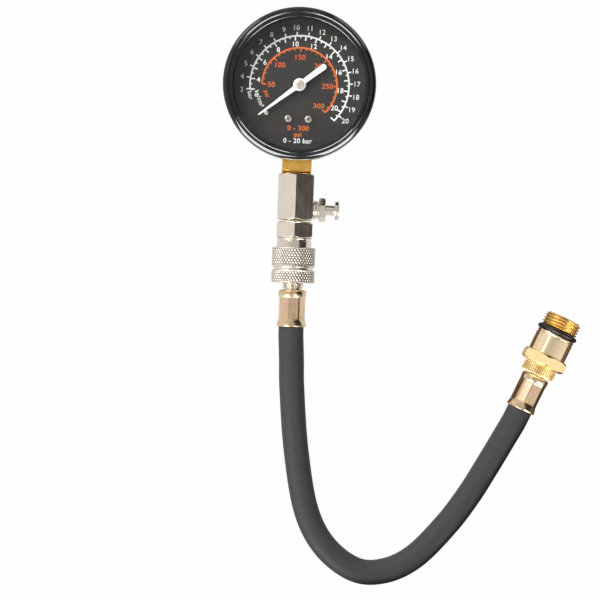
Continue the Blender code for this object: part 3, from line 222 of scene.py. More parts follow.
# Noise with one scale across the piece's axis and another along it
def stretchedEffect(name, scales, detail, maskLow, maskHigh):
    tree, given, wanted = newEffect(name, scales, ["Height", "Mask"])
    split = addNode(tree, "ShaderNodeSeparateXYZ")
    tree.links.new(given["Vector"], split.inputs[0])
    stretched = addNode(tree, "ShaderNodeCombineXYZ")
    for axis, scaleName in (("X", "Across"), ("Y", "Across"), ("Z", "Along")):
        tree.links.new(mathNode(tree, "MULTIPLY", split.outputs[axis], given[scaleName]), stretched.inputs[axis])
    noise = noiseNode(tree, stretched.outputs[0], 1, detail)
    tree.links.new(noise, wanted["Height"])
    tree.links.new(rangeNode(tree, noise, maskLow, maskHigh, 0, 1), wanted["Mask"])
    return tree


# Drawn lines, as on drawn bar and pressed tube, and turning marks, uneven as a lathe leaves them
linesGroup = stretchedEffect("drawn lines", {"Across": 2600.0, "Along": 60.0}, 4, 0.42, 0.6)
marksGroup = stretchedEffect("turning marks", {"Across": 90.0, "Along": 5200.0}, 2, 0.4, 0.62)

# Handling: soft smears from hands and the workshop
handlingGroup, given, wanted = newEffect("handling", {"Smear Scale": 70.0}, ["Smear"])
tree = handlingGroup
smear = noiseNode(tree, given["Vector"], given["Smear Scale"], 3, 0.8)
tree.links.new(rangeNode(tree, smear, 0.4, 0.66, 0, 1), wanted["Smear"])

# Groove shade: painted shade between two radii round the axis, darkening the grooves of a knurl or a thread
grooveShadeGroup, given, wanted = newEffect("groove dirt", {"Root": 0.01, "Crest": 0.0103}, ["Mask"])
tree = grooveShadeGroup
flatten = addNode(tree, "ShaderNodeVectorMath", operation="MULTIPLY")
flatten.inputs[1].default_value = (1, 1, 0)
tree.links.new(given["Vector"], flatten.inputs[0])
fromAxis = addNode(tree, "ShaderNodeVectorMath", operation="LENGTH")
tree.links.new(flatten.outputs[0], fromAxis.inputs[0])
cutShare = rangeNode(tree, fromAxis.outputs["Value"], given["Root"], given["Crest"], 1, 0)
underRoot = mathNode(tree, "SUBTRACT", given["Root"], 0.00012)
aboveRoot = mathNode(tree, "GREATER_THAN", fromAxis.outputs["Value"], underRoot)
tree.links.new(mathNode(tree, "MULTIPLY", cutShare, aboveRoot), wanted["Mask"])
print("effects ready")


# The start of each finish: its place on the piece and the smears of handling
def newFinish(name, smearScale):
    material, tree, shader = newMaterial(name)
    place = addNode(tree, "ShaderNodeTexCoord").outputs["Object"]
    handling = placeGroup(tree, handlingGroup, place, **{"Smear Scale": smearScale})
    return material, tree, shader, place, handling.outputs["Smear"]


# A metal finish: base and second colour, drawn lines or turning marks, smears in the roughness
def metalFinish(name, values):
    material, tree, shader, place, smear = newFinish(name, values["smearScale"])
    shader.inputs["Metallic"].default_value = 1.0
    if values.get("turned"):  # the fine scale runs along the axis here
        marks = placeGroup(tree, marksGroup, place, Across=values["along"], Along=values["across"])
    else:
        marks = placeGroup(tree, linesGroup, place, Across=values["across"], Along=values["along"])
    colour = mixColours(tree, marks.outputs["Mask"], values["colour"], values["lineColour"])
    colour = overlay(tree, colour, smear, values["smearShare"], values["smearColour"])
    # Painted shade: a knurl's or a thread's grooves take a darker colour
    if "groove" in values:
        paintedShade = placeGroup(tree, grooveShadeGroup, place, **values["groove"])
        colour = overlay(tree, colour, paintedShade.outputs["Mask"], values["grooveShadeShare"], values["grooveShadeColour"])
    tree.links.new(colour, shader.inputs["Base Color"])
    lineRough = rangeNode(tree, marks.outputs["Height"], 0.3, 0.7, values["smooth"], values["rough"], False)
    smearRough = mathNode(tree, "MULTIPLY", smear, values["smearRough"])
    tree.links.new(mathNode(tree, "ADD", lineRough, smearRough, clamp=True), shader.inputs["Roughness"])
    bumpFrom(tree, marks.outputs["Height"], shader, values)
    return material


# A painted, printed or moulded finish without metal, streaked along the piece where asked
def dullFinish(name, values):
    material, tree, shader, place, smear = newFinish(name, values["smearScale"])
    grain = placeGroup(tree, grainGroup, place, **{"Scale": values["grain"], "Coarse Scale": values["cloud"]})
    height = grain.outputs["Height"]
    colour = mixColours(tree, grain.outputs["Mask"], values["colour"], values["cloudColour"])
    if "streakScale" in values:
        drawn = addNode(tree, "ShaderNodeMapping")
        drawn.inputs["Scale"].default_value = values["streakScale"]
        tree.links.new(addNode(tree, "ShaderNodeUVMap", uv_map="surface").outputs["UV"], drawn.inputs["Vector"])
        streaks = noiseNode(tree, drawn.outputs[0], 1, 3)
        streakMask = rangeNode(tree, streaks, 0.4, 0.62, 0, 1)
        colour = overlay(tree, colour, streakMask, values["streakShare"], values["streakColour"])
        streakHeight = mathNode(tree, "MULTIPLY", streaks, values["streakHeight"])
        height = mathNode(tree, "ADD", height, streakHeight)
    colour = overlay(tree, colour, smear, values["smearShare"], values["smearColour"])
    tree.links.new(colour, shader.inputs["Base Color"])
    rough = rangeNode(tree, smear, 0, 1, values["smooth"], values["rough"], False)
    tree.links.new(rough, shader.inputs["Roughness"])
    shader.inputs["Specular IOR Level"].default_value = values.get("shine", 0.5)
    shader.inputs["Coat Weight"].default_value = values.get("coat", 0.0)
    shader.inputs["Coat Roughness"].default_value = values.get("coatRough", 0.03)
    bumpFrom(tree, height, shader, values)
    return material


nickelBar = metalFinish("nickel bar", {
    "colour": (0.80, 0.72, 0.61), "lineColour": (0.74, 0.66, 0.555), "across": 1500, "along": 60,
    "smooth": 0.17, "rough": 0.25, "bump": 0.055,
    "smearScale": 60, "smearShare": 0.3, "smearColour": (0.72, 0.64, 0.53), "smearRough": 0.05,
})
nickelTurned = metalFinish("turned nickel", {
    "colour": (0.78, 0.71, 0.61), "lineColour": (0.71, 0.64, 0.55), "across": 4200, "along": 40, "turned": True,
    "smooth": 0.12, "rough": 0.2, "bump": 0.045,
    "smearScale": 90, "smearShare": 0.3, "smearColour": (0.68, 0.6, 0.5), "smearRough": 0.06,
})
nickelKnurl = metalFinish("knurled nickel", {
    "colour": (0.84, 0.76, 0.67), "lineColour": (0.78, 0.70, 0.61), "across": 3000, "along": 90, "turned": True,
    "smooth": 0.24, "rough": 0.32, "bump": 0.03,
    "smearScale": 120, "smearShare": 0.3, "smearColour": (0.75, 0.67, 0.57), "smearRough": 0.06,
    # painted shade in the knurl's grooves
    "groove": {"Root": 0.01008, "Crest": 0.01031}, "grooveShadeShare": 0.68, "grooveShadeColour": (0.15, 0.12, 0.10),
})
brassNeck = metalFinish("ochre brass", {
    "colour": (0.57, 0.33, 0.075), "lineColour": (0.53, 0.30, 0.067), "across": 1700, "along": 70,
    "smooth": 0.4, "rough": 0.5, "bump": 0.08,
    "smearScale": 80, "smearShare": 0.3, "smearColour": (0.51, 0.285, 0.062), "smearRough": 0.06,
})
brassBar = metalFinish("pale brass bar", {
    "colour": (0.85, 0.61, 0.32), "lineColour": (0.82, 0.58, 0.295), "across": 420, "along": 40,
    "smooth": 0.25, "rough": 0.33, "bump": 0.03,
    "smearScale": 70, "smearShare": 0.25, "smearColour": (0.80, 0.56, 0.28), "smearRough": 0.04,
})
brassRibs = metalFinish("ribbed brass", {
    "colour": (0.89, 0.67, 0.34), "lineColour": (0.86, 0.635, 0.31), "across": 420, "along": 40,
    "smooth": 0.28, "rough": 0.36, "bump": 0.02,
    "smearScale": 70, "smearShare": 0.25, "smearColour": (0.87, 0.64, 0.31), "smearRough": 0.04,
    # painted shade between the collar's ribs
    "groove": {"Root": 0.00785, "Crest": 0.00812}, "grooveShadeShare": 0.7, "grooveShadeColour": (0.40, 0.24, 0.08),
})
brassBarrel = metalFinish("turned brass", {
    "colour": (0.97, 0.775, 0.52), "lineColour": (0.94, 0.735, 0.48), "across": 1600, "along": 30, "turned": True,
    "smooth": 0.1, "rough": 0.15, "bump": 0.02,
    "smearScale": 60, "smearShare": 0.25, "smearColour": (0.91, 0.69, 0.43), "smearRough": 0.04,
})
brassThread = metalFinish("cut brass thread", {
    "colour": (0.84, 0.60, 0.22), "lineColour": (0.80, 0.555, 0.19), "across": 700, "along": 60, "turned": True,
    "smooth": 0.25, "rough": 0.33, "bump": 0.01,
    "smearScale": 80, "smearShare": 0.25, "smearColour": (0.75, 0.49, 0.15), "smearRough": 0.04,
    # painted shade in the thread's roots
    "groove": {"Root": 0.008, "Crest": 0.00865}, "grooveShadeShare": 0.5, "grooveShadeColour": (0.42, 0.22, 0.06),
})
steelPlain = metalFinish("plated steel", {
    "colour": (0.80, 0.76, 0.68), "lineColour": (0.70, 0.66, 0.58), "across": 2400, "along": 700,
    "smooth": 0.2, "rough": 0.34, "bump": 0.1,
    "smearScale": 300, "smearShare": 0.4, "smearColour": (0.60, 0.55, 0.47), "smearRough": 0.08,
})
# Painted shade: a dark finish for the faces inside the screws' cross recess
recessPaintedShade = metalFinish("screw recess", {
    "colour": (0.20, 0.165, 0.135), "lineColour": (0.14, 0.115, 0.095), "across": 2400, "along": 700,
    "smooth": 0.35, "rough": 0.5, "bump": 0.1,
    "smearScale": 300, "smearShare": 0.4, "smearColour": (0.10, 0.08, 0.065), "smearRough": 0.08,
})
bronzeSpring = metalFinish("spring bronze", {
    "colour": (0.66, 0.42, 0.22), "lineColour": (0.58, 0.35, 0.17), "across": 2400, "along": 200,
    "smooth": 0.2, "rough": 0.32, "bump": 0.08, "depth": 0.00001,
    "smearScale": 160, "smearShare": 0.3, "smearColour": (0.5, 0.3, 0.15), "smearRough": 0.06,
})
caseBlack = dullFinish("case paint", {
    "colour": (0.012, 0.012, 0.014), "cloudColour": (0.018, 0.018, 0.02), "grain": 1400, "cloud": 260,
    "smearScale": 40, "smearShare": 0.5, "smearColour": (0.022, 0.022, 0.024),
    "smooth": 0.22, "rough": 0.34, "coat": 0.3, "coatRough": 0.1, "bump": 0.2, "depth": 0.00003,
})
bezelBlack = dullFinish("bezel enamel", {
    "colour": (0.007, 0.007, 0.009), "cloudColour": (0.009, 0.009, 0.011), "grain": 500, "cloud": 90,
    "smearScale": 45, "smearShare": 0.5, "smearColour": (0.010, 0.010, 0.013),
    "smooth": 0.05, "rough": 0.1, "shine": 0.45, "bump": 0.04,
})
dialBlack = dullFinish("dial paint", {
    "colour": (0.030, 0.027, 0.0255), "cloudColour": (0.032, 0.029, 0.027), "grain": 2500, "cloud": 200,
    "smearScale": 60, "smearShare": 0.3, "smearColour": (0.028, 0.0255, 0.024),
    "smooth": 0.66, "rough": 0.74, "shine": 0.06, "bump": 0.1, "depth": 0.00001,
})
printWhite = dullFinish("white print", {
    "colour": (0.86, 0.90, 0.865), "cloudColour": (0.82, 0.86, 0.82), "grain": 4000, "cloud": 700,
    "smearScale": 500, "smearShare": 0.2, "smearColour": (0.78, 0.82, 0.78),
    "smooth": 0.5, "rough": 0.6, "shine": 0.1, "bump": 0.05, "depth": 0.00001,
})
printOrange = dullFinish("orange print", {
    "colour": (0.73, 0.155, 0.028), "cloudColour": (0.68, 0.14, 0.026), "grain": 4000, "cloud": 700,
    "smearScale": 500, "smearShare": 0.2, "smearColour": (0.64, 0.13, 0.026),
    "smooth": 0.5, "rough": 0.6, "shine": 0.1, "bump": 0.05, "depth": 0.00001,
})
pointerWhite = dullFinish("pointer paint", {
    "colour": (0.95, 0.95, 0.935), "cloudColour": (0.92, 0.92, 0.905), "grain": 2500, "cloud": 300,
    "smearScale": 200, "smearShare": 0.25, "smearColour": (0.88, 0.88, 0.86),
    "smooth": 0.35, "rough": 0.48, "shine": 0.2, "bump": 0.08, "depth": 0.00001,
})
ringRubber = dullFinish("seal rubber", {
    "colour": (0.013, 0.009, 0.009), "cloudColour": (0.018, 0.013, 0.013), "grain": 1800, "cloud": 300,
    "smearScale": 180, "smearShare": 0.4, "smearColour": (0.026, 0.019, 0.018),
    "smooth": 0.3, "rough": 0.42, "shine": 0.25, "bump": 0.2, "depth": 0.00003,
})
print("materials ready")


# Mesh tools
def newMesh(name, shape):
    mesh = bpy.data.meshes.new(name)
    mesh.from_pydata([tuple(v) for v in shape[0]], [], shape[1])
    return mesh


def makePiece(name, shape, materials, body, nodes=(), place=dialFrame, sharp=32, zones=None, uv=None):
    mesh = newMesh(name, shape)
    if uv:  # (across, along) for each vertex, in metres
        layer = mesh.uv_layers.new(name="surface")
        for loop in mesh.loops:
            layer.data[loop.index].uv = uv[loop.vertex_index]
    form = bmesh.new()
    form.from_mesh(mesh)
    if not uv:
        bmesh.ops.remove_doubles(form, verts=form.verts, dist=2e-7)
        bmesh.ops.dissolve_degenerate(form, edges=form.edges, dist=1e-8)
    bmesh.ops.recalc_face_normals(form, faces=form.faces)
    form.to_mesh(mesh)
    form.free()
    mesh.shade_smooth()
    mesh.set_sharp_from_angle(angle=math.radians(sharp))
    piece = addObject(name, mesh)
    piece.matrix_world = place
    for material in materials if isinstance(materials, list) else [materials]:
        mesh.materials.append(material)
    if zones:  # the material number of each face, from the face's own centre
        for face in mesh.polygons:
            face.material_index = zones(face.center)
    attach(piece, body)
    if nodes:
        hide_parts(*nodes)
    keepFlats(piece)
    return piece


def keepFlats(piece):  # large faces keep their own direction beside small rounded edges
    weighted = piece.modifiers.new("flats", "WEIGHTED_NORMAL")
    weighted.keep_sharp = True


def joined(*shapes):
    vertices, faces = [], []
    for shapeVertices, shapeFaces in shapes:
        start = len(vertices)
        vertices += [tuple(v) for v in shapeVertices]
        faces += [tuple(start + i for i in face) for face in shapeFaces]
    return vertices, faces


def moved(shape, matrix):
    return [tuple(matrix @ Vector(v)) for v in shape[0]], shape[1]


# A profile with its corners rounded: each corner is (radius, height, fillet)
def rounded(corners, steps=4, closed=True):
    line = []
    count = len(corners)
    for i, (x, y, fillet) in enumerate(corners):
        corner = Vector((x, y))
        if fillet <= 0 or (not closed and i in (0, count - 1)):
            line.append((x, y))
            continue
        before = Vector(corners[i - 1][:2]) - corner
        after = Vector(corners[(i + 1) % count][:2]) - corner
        beforeLength, afterLength = before.length, after.length
        before.normalize()
        after.normalize()
        half = before.angle(after) / 2
        cutBack = min(fillet / math.tan(half), beforeLength * 0.48, afterLength * 0.48)
        centre = corner + (before + after).normalized() * (cutBack / math.cos(half))
        start, end = corner + before * cutBack - centre, corner + after * cutBack - centre
        first = math.atan2(start.y, start.x)
        sweep = (math.atan2(end.y, end.x) - first + math.pi) % math.tau - math.pi
        for k in range(steps + 1):
            angle = first + sweep * k / steps
            line.append((centre.x + start.length * math.cos(angle), centre.y + start.length * math.sin(angle)))
    return line


def ringFaces(segments, rows, closed=True):  # between the columns of points that stand round an axis
    faces = []
    for i in range(segments):
        j = (i + 1) % segments
        for k in range(rows if closed else rows - 1):
            m = (k + 1) % rows
            faces.append((i * rows + k, j * rows + k, j * rows + m, i * rows + m))
    return faces


# A profile turned round the axis; shape may move each point with the turn
def turned(profile, segments=96, closed=True, shape=None):
    vertices = []
    for i in range(segments):
        turn = math.tau * i / segments
        for radius, height in profile:
            if shape:
                radius, height = shape(radius, height, turn)
            vertices.append((radius * math.cos(turn), radius * math.sin(turn), height))
    return vertices, ringFaces(segments, len(profile), closed)


def insert(line, step):  # more points along a profile, so that its shape can change on the way
    fineLine = []
    for (x, y), (nextX, nextY) in zip(line, line[1:] + line[:1]):
        count = max(1, round(math.hypot(nextX - x, nextY - y) / step))
        fineLine += [(x + (nextX - x) * k / count, y + (nextY - y) * k / count) for k in range(count)]
    return fineLine


def smoothStep(value):
    value = min(max(value, 0.0), 1.0)
    return value * value * (3 - 2 * value)


# How far a many-sided bar reaches from its axis in one direction
def barReach(turn, flats, sides, edgeRound):
    half = math.pi / sides
    fromFlat = (turn + half) % (2 * half) - half
    flat = flats / 2
    tangent = math.atan((flat - edgeRound) * math.tan(half) / flat)
    if abs(fromFlat) <= tangent:
        return flat / math.cos(fromFlat)
    centre = (flat - edgeRound) / math.cos(half)
    toCorner = half - abs(fromFlat)
    return centre * math.cos(toCorner) + math.sqrt(edgeRound ** 2 - (centre * math.sin(toCorner)) ** 2)


# A bar with flats whose ends are turned to a chamfer, so that each flat ends in an arc.
# The rest is the section's other points, from the bar's end face back to its start face.
def milledBar(bar, start, end, rest, turnedBy=0.0, segments=288):
    vertices = []
    slope = math.tan(math.radians(bar["chamferAngle"]))
    soft = bar["soft"]
    for i in range(segments):
        turn = math.tau * i / segments
        reach = barReach(turn - turnedBy, bar["flats"], bar["sides"], bar["edgeRound"])
        ends = []
        for facing in ("startFace", "endFace"):
            face = min(bar[facing], reach - soft)
            ends.append((face, max((reach - face) * slope, soft)))
        face, drop = ends[0]
        column = [(face - soft, start), (face, start + soft * slope * 0.5)]
        column += [(reach - soft, start + drop - soft * slope * 0.5), (reach, start + drop + soft)]
        face, drop = ends[1]
        column += [(reach, end - drop - soft), (reach - soft, end - drop + soft * slope * 0.5)]
        column += [(face, end - soft * slope * 0.5), (face - soft, end)] + list(rest)
        vertices += [(r * math.cos(turn), r * math.sin(turn), h) for r, h in column]
    return vertices, ringFaces(segments, len(column))


# A real helical thread: the rows of the mesh follow the helix
def threadShape(thread, segments=144, rowsPerPitch=12):
    pitch, start, end = thread["pitch"], thread["start"], thread["end"]
    rows = int(math.ceil((end - start) / pitch) + 2) * rowsPerPitch
    vertices, faces = [], []

    def radiusAt(height, turn):
        phase = ((height - start) / pitch - turn / math.tau) % 1.0
        crest, flank = thread["crest"], (1 - thread["crest"] - thread["root"]) / 2
        if phase < thread["root"]:
            depth = 1.0
        elif phase < thread["root"] + flank:
            depth = 1 - (phase - thread["root"]) / flank
        elif phase < thread["root"] + flank + crest:
            depth = 0.0
        else:
            depth = (phase - thread["root"] - flank - crest) / flank
        cut = thread["radius"] - thread["depth"] * depth
        endCone = thread["radius"] - thread["chamfer"] + (end - height)
        startCone = thread["radius"] - thread["depth"] + (height - start) * thread["leadIn"]
        return min(cut, endCone, startCone)

    for i in range(segments + 1):
        turn = math.tau * i / segments
        for k in range(rows + 1):
            height = start + (k / rowsPerPitch - 1 + i / segments) * pitch
            height = min(max(height, start), end)
            radius = radiusAt(height, turn)
            vertices.append((radius * math.cos(turn), radius * math.sin(turn), height))
    for i in range(segments):
        for k in range(rows):
            a, b = i * (rows + 1) + k, (i + 1) * (rows + 1) + k
            faces.append((a, b, b + 1, a + 1))
    return vertices, faces


def cutWith(piece, shape, place, operation="DIFFERENCE", materialIndex=0):  # cuts or adds a shape for good
    mesh = newMesh("cutter", shape)
    form = bmesh.new()
    form.from_mesh(mesh)
    bmesh.ops.remove_doubles(form, verts=form.verts, dist=2e-7)
    bmesh.ops.recalc_face_normals(form, faces=form.faces)
    form.to_mesh(mesh)
    form.free()
    for material in piece.data.materials:
        mesh.materials.append(material)
    for face in mesh.polygons:
        face.material_index = materialIndex
    cutter = addObject("cutter", mesh)
    cutter.matrix_world = place
    piece.modifiers.clear()
    modifier = piece.modifiers.new("cut", "BOOLEAN")
    modifier.operation = operation
    modifier.object = cutter
    modifier.solver = "EXACT"
    bpy.context.view_layer.update()
    graph = bpy.context.evaluated_depsgraph_get()
    result = bpy.data.meshes.new_from_object(piece.evaluated_get(graph))
    piece.modifiers.clear()
    old = piece.data
    piece.data = result
    bpy.data.meshes.remove(old)
    bpy.data.objects.remove(cutter)
    result.name = piece.name
    result.shade_smooth()
    result.set_sharp_from_angle(angle=math.radians(32))
    keepFlats(piece)


def block(width, depth, low, high):
    x, y = width / 2, depth / 2
    vertices = [(sx * x, sy * y, z) for z in (low, high) for sx, sy in ((-1, -1), (1, -1), (1, 1), (-1, 1))]
    return vertices, [(3, 2, 1, 0), (4, 5, 6, 7), (0, 1, 5, 4), (1, 2, 6, 5), (2, 3, 7, 6), (3, 0, 4, 7)]


def plate(outline, low, high):  # a flat plate from an outline, run anticlockwise
    count = len(outline)
    vertices = [(x, y, low) for x, y in outline] + [(x, y, high) for x, y in outline]
    faces = [tuple(reversed(range(count))), tuple(range(count, 2 * count))]
    faces += [(i, (i + 1) % count, count + (i + 1) % count, count + i) for i in range(count)]
    return vertices, faces


# Hose: one rubber tube in a U, from the coupler's plug to the adapter
hoseValues = {
    "radius": 0.006, "around": 40, "step": 0.0018, "inserted": 0.0026,
    "start": (0, -0.1117, 0.011),
    "route": [
        (0.0, -0.118, 0.0110), (0.0007, -0.1303, 0.0107), (0.0014, -0.1446, 0.0097), (0.0044, -0.1735, 0.0076),
        (0.0102, -0.2021, 0.0066), (0.0199, -0.2195, 0.0063), (0.0347, -0.2300, 0.0063),
        (0.0491, -0.2300, 0.0063), (0.0632, -0.2225, 0.0064), (0.0776, -0.2069, 0.0069),
        (0.0879, -0.1922, 0.0077), (0.0963, -0.1774, 0.0091), (0.1041, -0.1628, 0.0110),
    ],
}


def smoothLine(points, steps=16):
    padded = [points[0] * 2 - points[1]] + points + [points[-1] * 2 - points[-2]]
    line = []
    for a, b, c, d in zip(padded, padded[1:], padded[2:], padded[3:]):
        for i in range(steps):
            t = i / steps
            bend = (2 * a - 5 * b + 4 * c - d) * t ** 2 + (3 * b - a - 3 * c + d) * t ** 3
            line.append(0.5 * (2 * b + (c - a) * t + bend))
    return line + [points[-1]]


def evenLine(line, step):
    reach = [0.0]
    for near, far in zip(line, line[1:]):
        reach.append(reach[-1] + (far - near).length)
    count = round(reach[-1] / step)
    points, index = [], 1
    for i in range(count + 1):
        goal = reach[-1] * i / count
        while reach[index] < goal - 1e-9:
            index += 1
        share = (goal - reach[index - 1]) / (reach[index] - reach[index - 1])
        points.append(line[index - 1].lerp(line[index], share))
    return points, reach[-1]


def sweep(line, radius, around):
    vertices, faces, uv = [], [], []
    side = Vector((0, 0, 1))
    along = 0.0
    for i, point in enumerate(line):
        way = (line[min(i + 1, len(line) - 1)] - line[max(i - 1, 0)]).normalized()
        side = (side - way * side.dot(way)).normalized()
        other = way.cross(side)
        along += (point - line[i - 1]).length if i else 0
        for k in range(around):
            turn = math.tau * k / around
            vertices.append(point + side * (radius * math.cos(turn)) + other * (radius * math.sin(turn)))
            uv.append((turn * radius, along))
    for i in range(len(line) - 1):
        for k in range(around):
            m = (k + 1) % around
            faces.append((i * around + k, i * around + m, (i + 1) * around + m, (i + 1) * around + k))
    faces.append(tuple(reversed(range(around))))
    faces.append(tuple(range((len(line) - 1) * around, len(line) * around)))
    return vertices, faces, uv


hoseRubber = dullFinish("hose rubber", {
    "colour": (0.068, 0.064, 0.067), "cloudColour": (0.075, 0.071, 0.074), "grain": 2600, "cloud": 500,
    "streakScale": (1500, 30, 1), "streakShare": 0.35, "streakColour": (0.084, 0.079, 0.083), "streakHeight": 0.8,
    "smearScale": 55, "smearShare": 0.3, "smearColour": (0.085, 0.080, 0.082),
    "smooth": 0.5, "rough": 0.62, "shine": 0.09, "bump": 0.22, "depth": 0.00003,
})
endWay = (endFrame.to_3x3() @ Vector((0, 0, 1))).normalized()
endMouth = Vector(places["endStart"])
hosePoints = [Vector(hoseValues["start"])] + [Vector(p) for p in hoseValues["route"]]
hosePoints += [endMouth - endWay * hoseValues["radius"], endMouth + endWay * hoseValues["inserted"]]
hoseLine, hoseLength = evenLine(smoothLine(hosePoints), hoseValues["step"])
vertices, faces, uv = sweep(hoseLine, hoseValues["radius"], hoseValues["around"])
hose = makePiece("rubber_hose", (vertices, faces), hoseRubber, "hose_line", ["hose"], uv=uv)
print("hose laid,", round(hoseLength * 1000, 1), "mm")

# Case: a pressed can behind the dial
case = {
    "radius": 0.0335, "wall": 0.0008, "depth": 0.024, "edgeRound": 0.003,
    "neckHole": 0.0146, "dimple": 0.0004, "dimpleRadius": 0.0115, "dimpleEdge": 0.0012,
}
profile = rounded([
    (0, case["dimple"], 0), (case["dimpleRadius"], case["dimple"], 0.0008),
    (case["dimpleRadius"] + case["dimpleEdge"], 0, 0.0008), (case["radius"], 0, case["edgeRound"]),
    (case["radius"], case["depth"], 0.0003), (case["radius"] - case["wall"], case["depth"], 0.0003),
    (case["radius"] - case["wall"], case["wall"], case["edgeRound"] - case["wall"]),
    (0, case["wall"] + case["dimple"], 0),
], 8, closed=False)
caseCan = makePiece("case_can", turned(profile, 160, closed=False), caseBlack, "gauge_body", ["case"])
cutWith(
    caseCan, block(case["neckHole"], case["neckHole"], case["radius"] - 0.006, case["radius"] + 0.003), stackFrame
)

# Bezel: a rolled ring, with a fine bead round its lip
ring = {
    "inner": 0.0338, "outer": 0.036, "foot": 0.0205, "footCut": 0.00055, "crest": 0.0293, "roll": 0.0022,
    "lip": [
        (0.03345, 0.02926, 0.0008), (0.03305, 0.02896, 0.0003), (0.03262, 0.02917, 0.0003), (0.0322, 0.02916, 0.0006),
        (0.03125, 0.02893, 0.0004), (0.0309, 0.02855, 0.0003), (0.0309, 0.0277, 0.0001),
    ],
}
profile = rounded([
    (ring["inner"], ring["foot"], 0.0001), (ring["outer"] - ring["footCut"], ring["foot"], 0.0002),
    (ring["outer"], ring["foot"] + ring["footCut"], 0.0002),
], 3, closed=False)
for i in range(19):  # the rolled outer edge
    turn = math.pi / 2 * i / 18
    profile.append((
        ring["outer"] + ring["roll"] * (math.cos(turn) - 1), ring["crest"] + ring["roll"] * (math.sin(turn) - 1),
    ))
profile += rounded([(ring["outer"] - ring["roll"], ring["crest"], 0)] + ring["lip"], 5, closed=False)[1:]
profile.append((ring["inner"], ring["lip"][-1][1]))
makePiece("bezel_ring", turned(profile, 288), bezelBlack, "gauge_body", ["bezel"], sharp=40)

# Window: a flat clear disc
pane = {
    "radius": 0.0332, "low": 0.0254, "high": 0.0274, "edge": 0.0002,
    "colour": (0.98, 0.99, 0.985, 1), "bending": 1.49, "smearScale": 45.0, "rough": 0.003,
}


def windowFinish(values):
    material, tree, shader, place, smear = newFinish("window glass", values["smearScale"])
    shader.inputs["Base Color"].default_value = values["colour"]
    shader.inputs["Transmission Weight"].default_value = 1.0
    shader.inputs["IOR"].default_value = values["bending"]
    tree.links.new(rangeNode(tree, smear, 0, 1, 0, values["rough"], False), shader.inputs["Roughness"])
    through = addNode(tree, "ShaderNodeBsdfTransparent")
    blend = addNode(tree, "ShaderNodeMixShader")
    tree.links.new(addNode(tree, "ShaderNodeLightPath").outputs["Is Shadow Ray"], blend.inputs[0])
    tree.links.new(shader.outputs[0], blend.inputs[1])
    tree.links.new(through.outputs[0], blend.inputs[2])
    tree.links.new(blend.outputs[0], tree.nodes["Material Output"].inputs["Surface"])
    return material


clearGlass = windowFinish(pane)
profile = rounded([
    (0, pane["low"], 0), (pane["radius"], pane["low"], pane["edge"]), (pane["radius"], pane["high"], pane["edge"]),
    (0, pane["high"], 0),
], 2, closed=False)
makePiece(
    "window_pane", turned(profile, 128, closed=False), clearGlass, "gauge_body", ["window"], sharp=12
)

# Dial: a painted plate, with its print as thin shapes just over it
face = {
    "radius": 0.0322, "hole": 0.0014, "low": 0.0194, "high": 0.02, "printLift": 0.00002, "printThick": 0.00002,
    "zeroAngle": 225.0, "perBar": 13.05, "perKilo": 12.80, "perPsi": 0.9,
}
profile = rounded([
    (face["hole"], face["low"], 0), (face["radius"], face["low"], 0), (face["radius"], face["high"], 0.00015),
    (face["hole"], face["high"], 0.0001),
], 2)
makePiece("dial_plate", turned(profile, 192), dialBlack, "gauge_body", ["dial"])
printLow = face["high"] + face["printLift"]
printHigh = printLow + face["printThick"]


def arcBand(radius, width, fromAngle, toAngle):
    steps = max(2, int(abs(toAngle - fromAngle) / 1.5))
    outline = []
    for reach, order in ((radius + width / 2, range(steps + 1)), (radius - width / 2, range(steps, -1, -1))):
        for i in order:
            turn = math.radians(fromAngle + (toAngle - fromAngle) * i / steps)
            outline.append((reach * math.cos(turn), reach * math.sin(turn)))
    count = len(outline)
    vertices = [(x, y, printLow) for x, y in outline] + [(x, y, printHigh) for x, y in outline]
    faces = []
    for i in range(steps):
        j = count - 1 - i
        faces.append((count + i, count + j, count + j - 1, count + i + 1))
        faces.append((i, i + 1, j - 1, j))
    faces += [(i, (i + 1) % count, count + (i + 1) % count, count + i) for i in range(count)]
    return vertices, faces


def tick(angle, fromRadius, toRadius, width):
    bar = plate(
        [(fromRadius, -width / 2), (toRadius, -width / 2), (toRadius, width / 2), (fromRadius, width / 2)],
        printLow, printHigh,
    )
    return moved(bar, Matrix.Rotation(math.radians(angle), 4, "Z"))


letterShapes = {}


def letterOutline(text, bold):  # the filled outline of a word in the plain built-in font
    if (text, bold) not in letterShapes:
        data = bpy.data.curves.new("letters", "FONT")
        data.body = text
        data.align_x = "CENTER"
        data.offset = bold
        data.resolution_u = 4
        data.space_character = 1.06
        holder = addObject("letters", data)
        bpy.context.view_layer.update()
        mesh = bpy.data.meshes.new_from_object(holder.evaluated_get(bpy.context.evaluated_depsgraph_get()))
        letterShapes[text, bold] = ([v.co.copy() for v in mesh.vertices], [tuple(f.vertices) for f in mesh.polygons])
        bpy.data.objects.remove(holder)
        bpy.data.curves.remove(data)
        bpy.data.meshes.remove(mesh)
    return letterShapes[text, bold]


digitRows = [v.y for v in letterOutline("0", 0.01)[0]]
digitTall = max(digitRows) - min(digitRows)


def letters(text, tall, x, y, turn=0.0, bold=0.01):
    points, faces = letterOutline(text, bold)
    xs = [v.x for v in points]
    scale = tall / digitTall
    matrix = (
        Matrix.Translation((x, y, printHigh))
        @ Matrix.Rotation(math.radians(turn), 4, "Z")
        @ Matrix.Diagonal((scale, scale, 1, 1))
        @ Matrix.Translation((-(max(xs) + min(xs)) / 2, -digitTall / 2, 0))
    )
    return moved((points, faces), matrix)


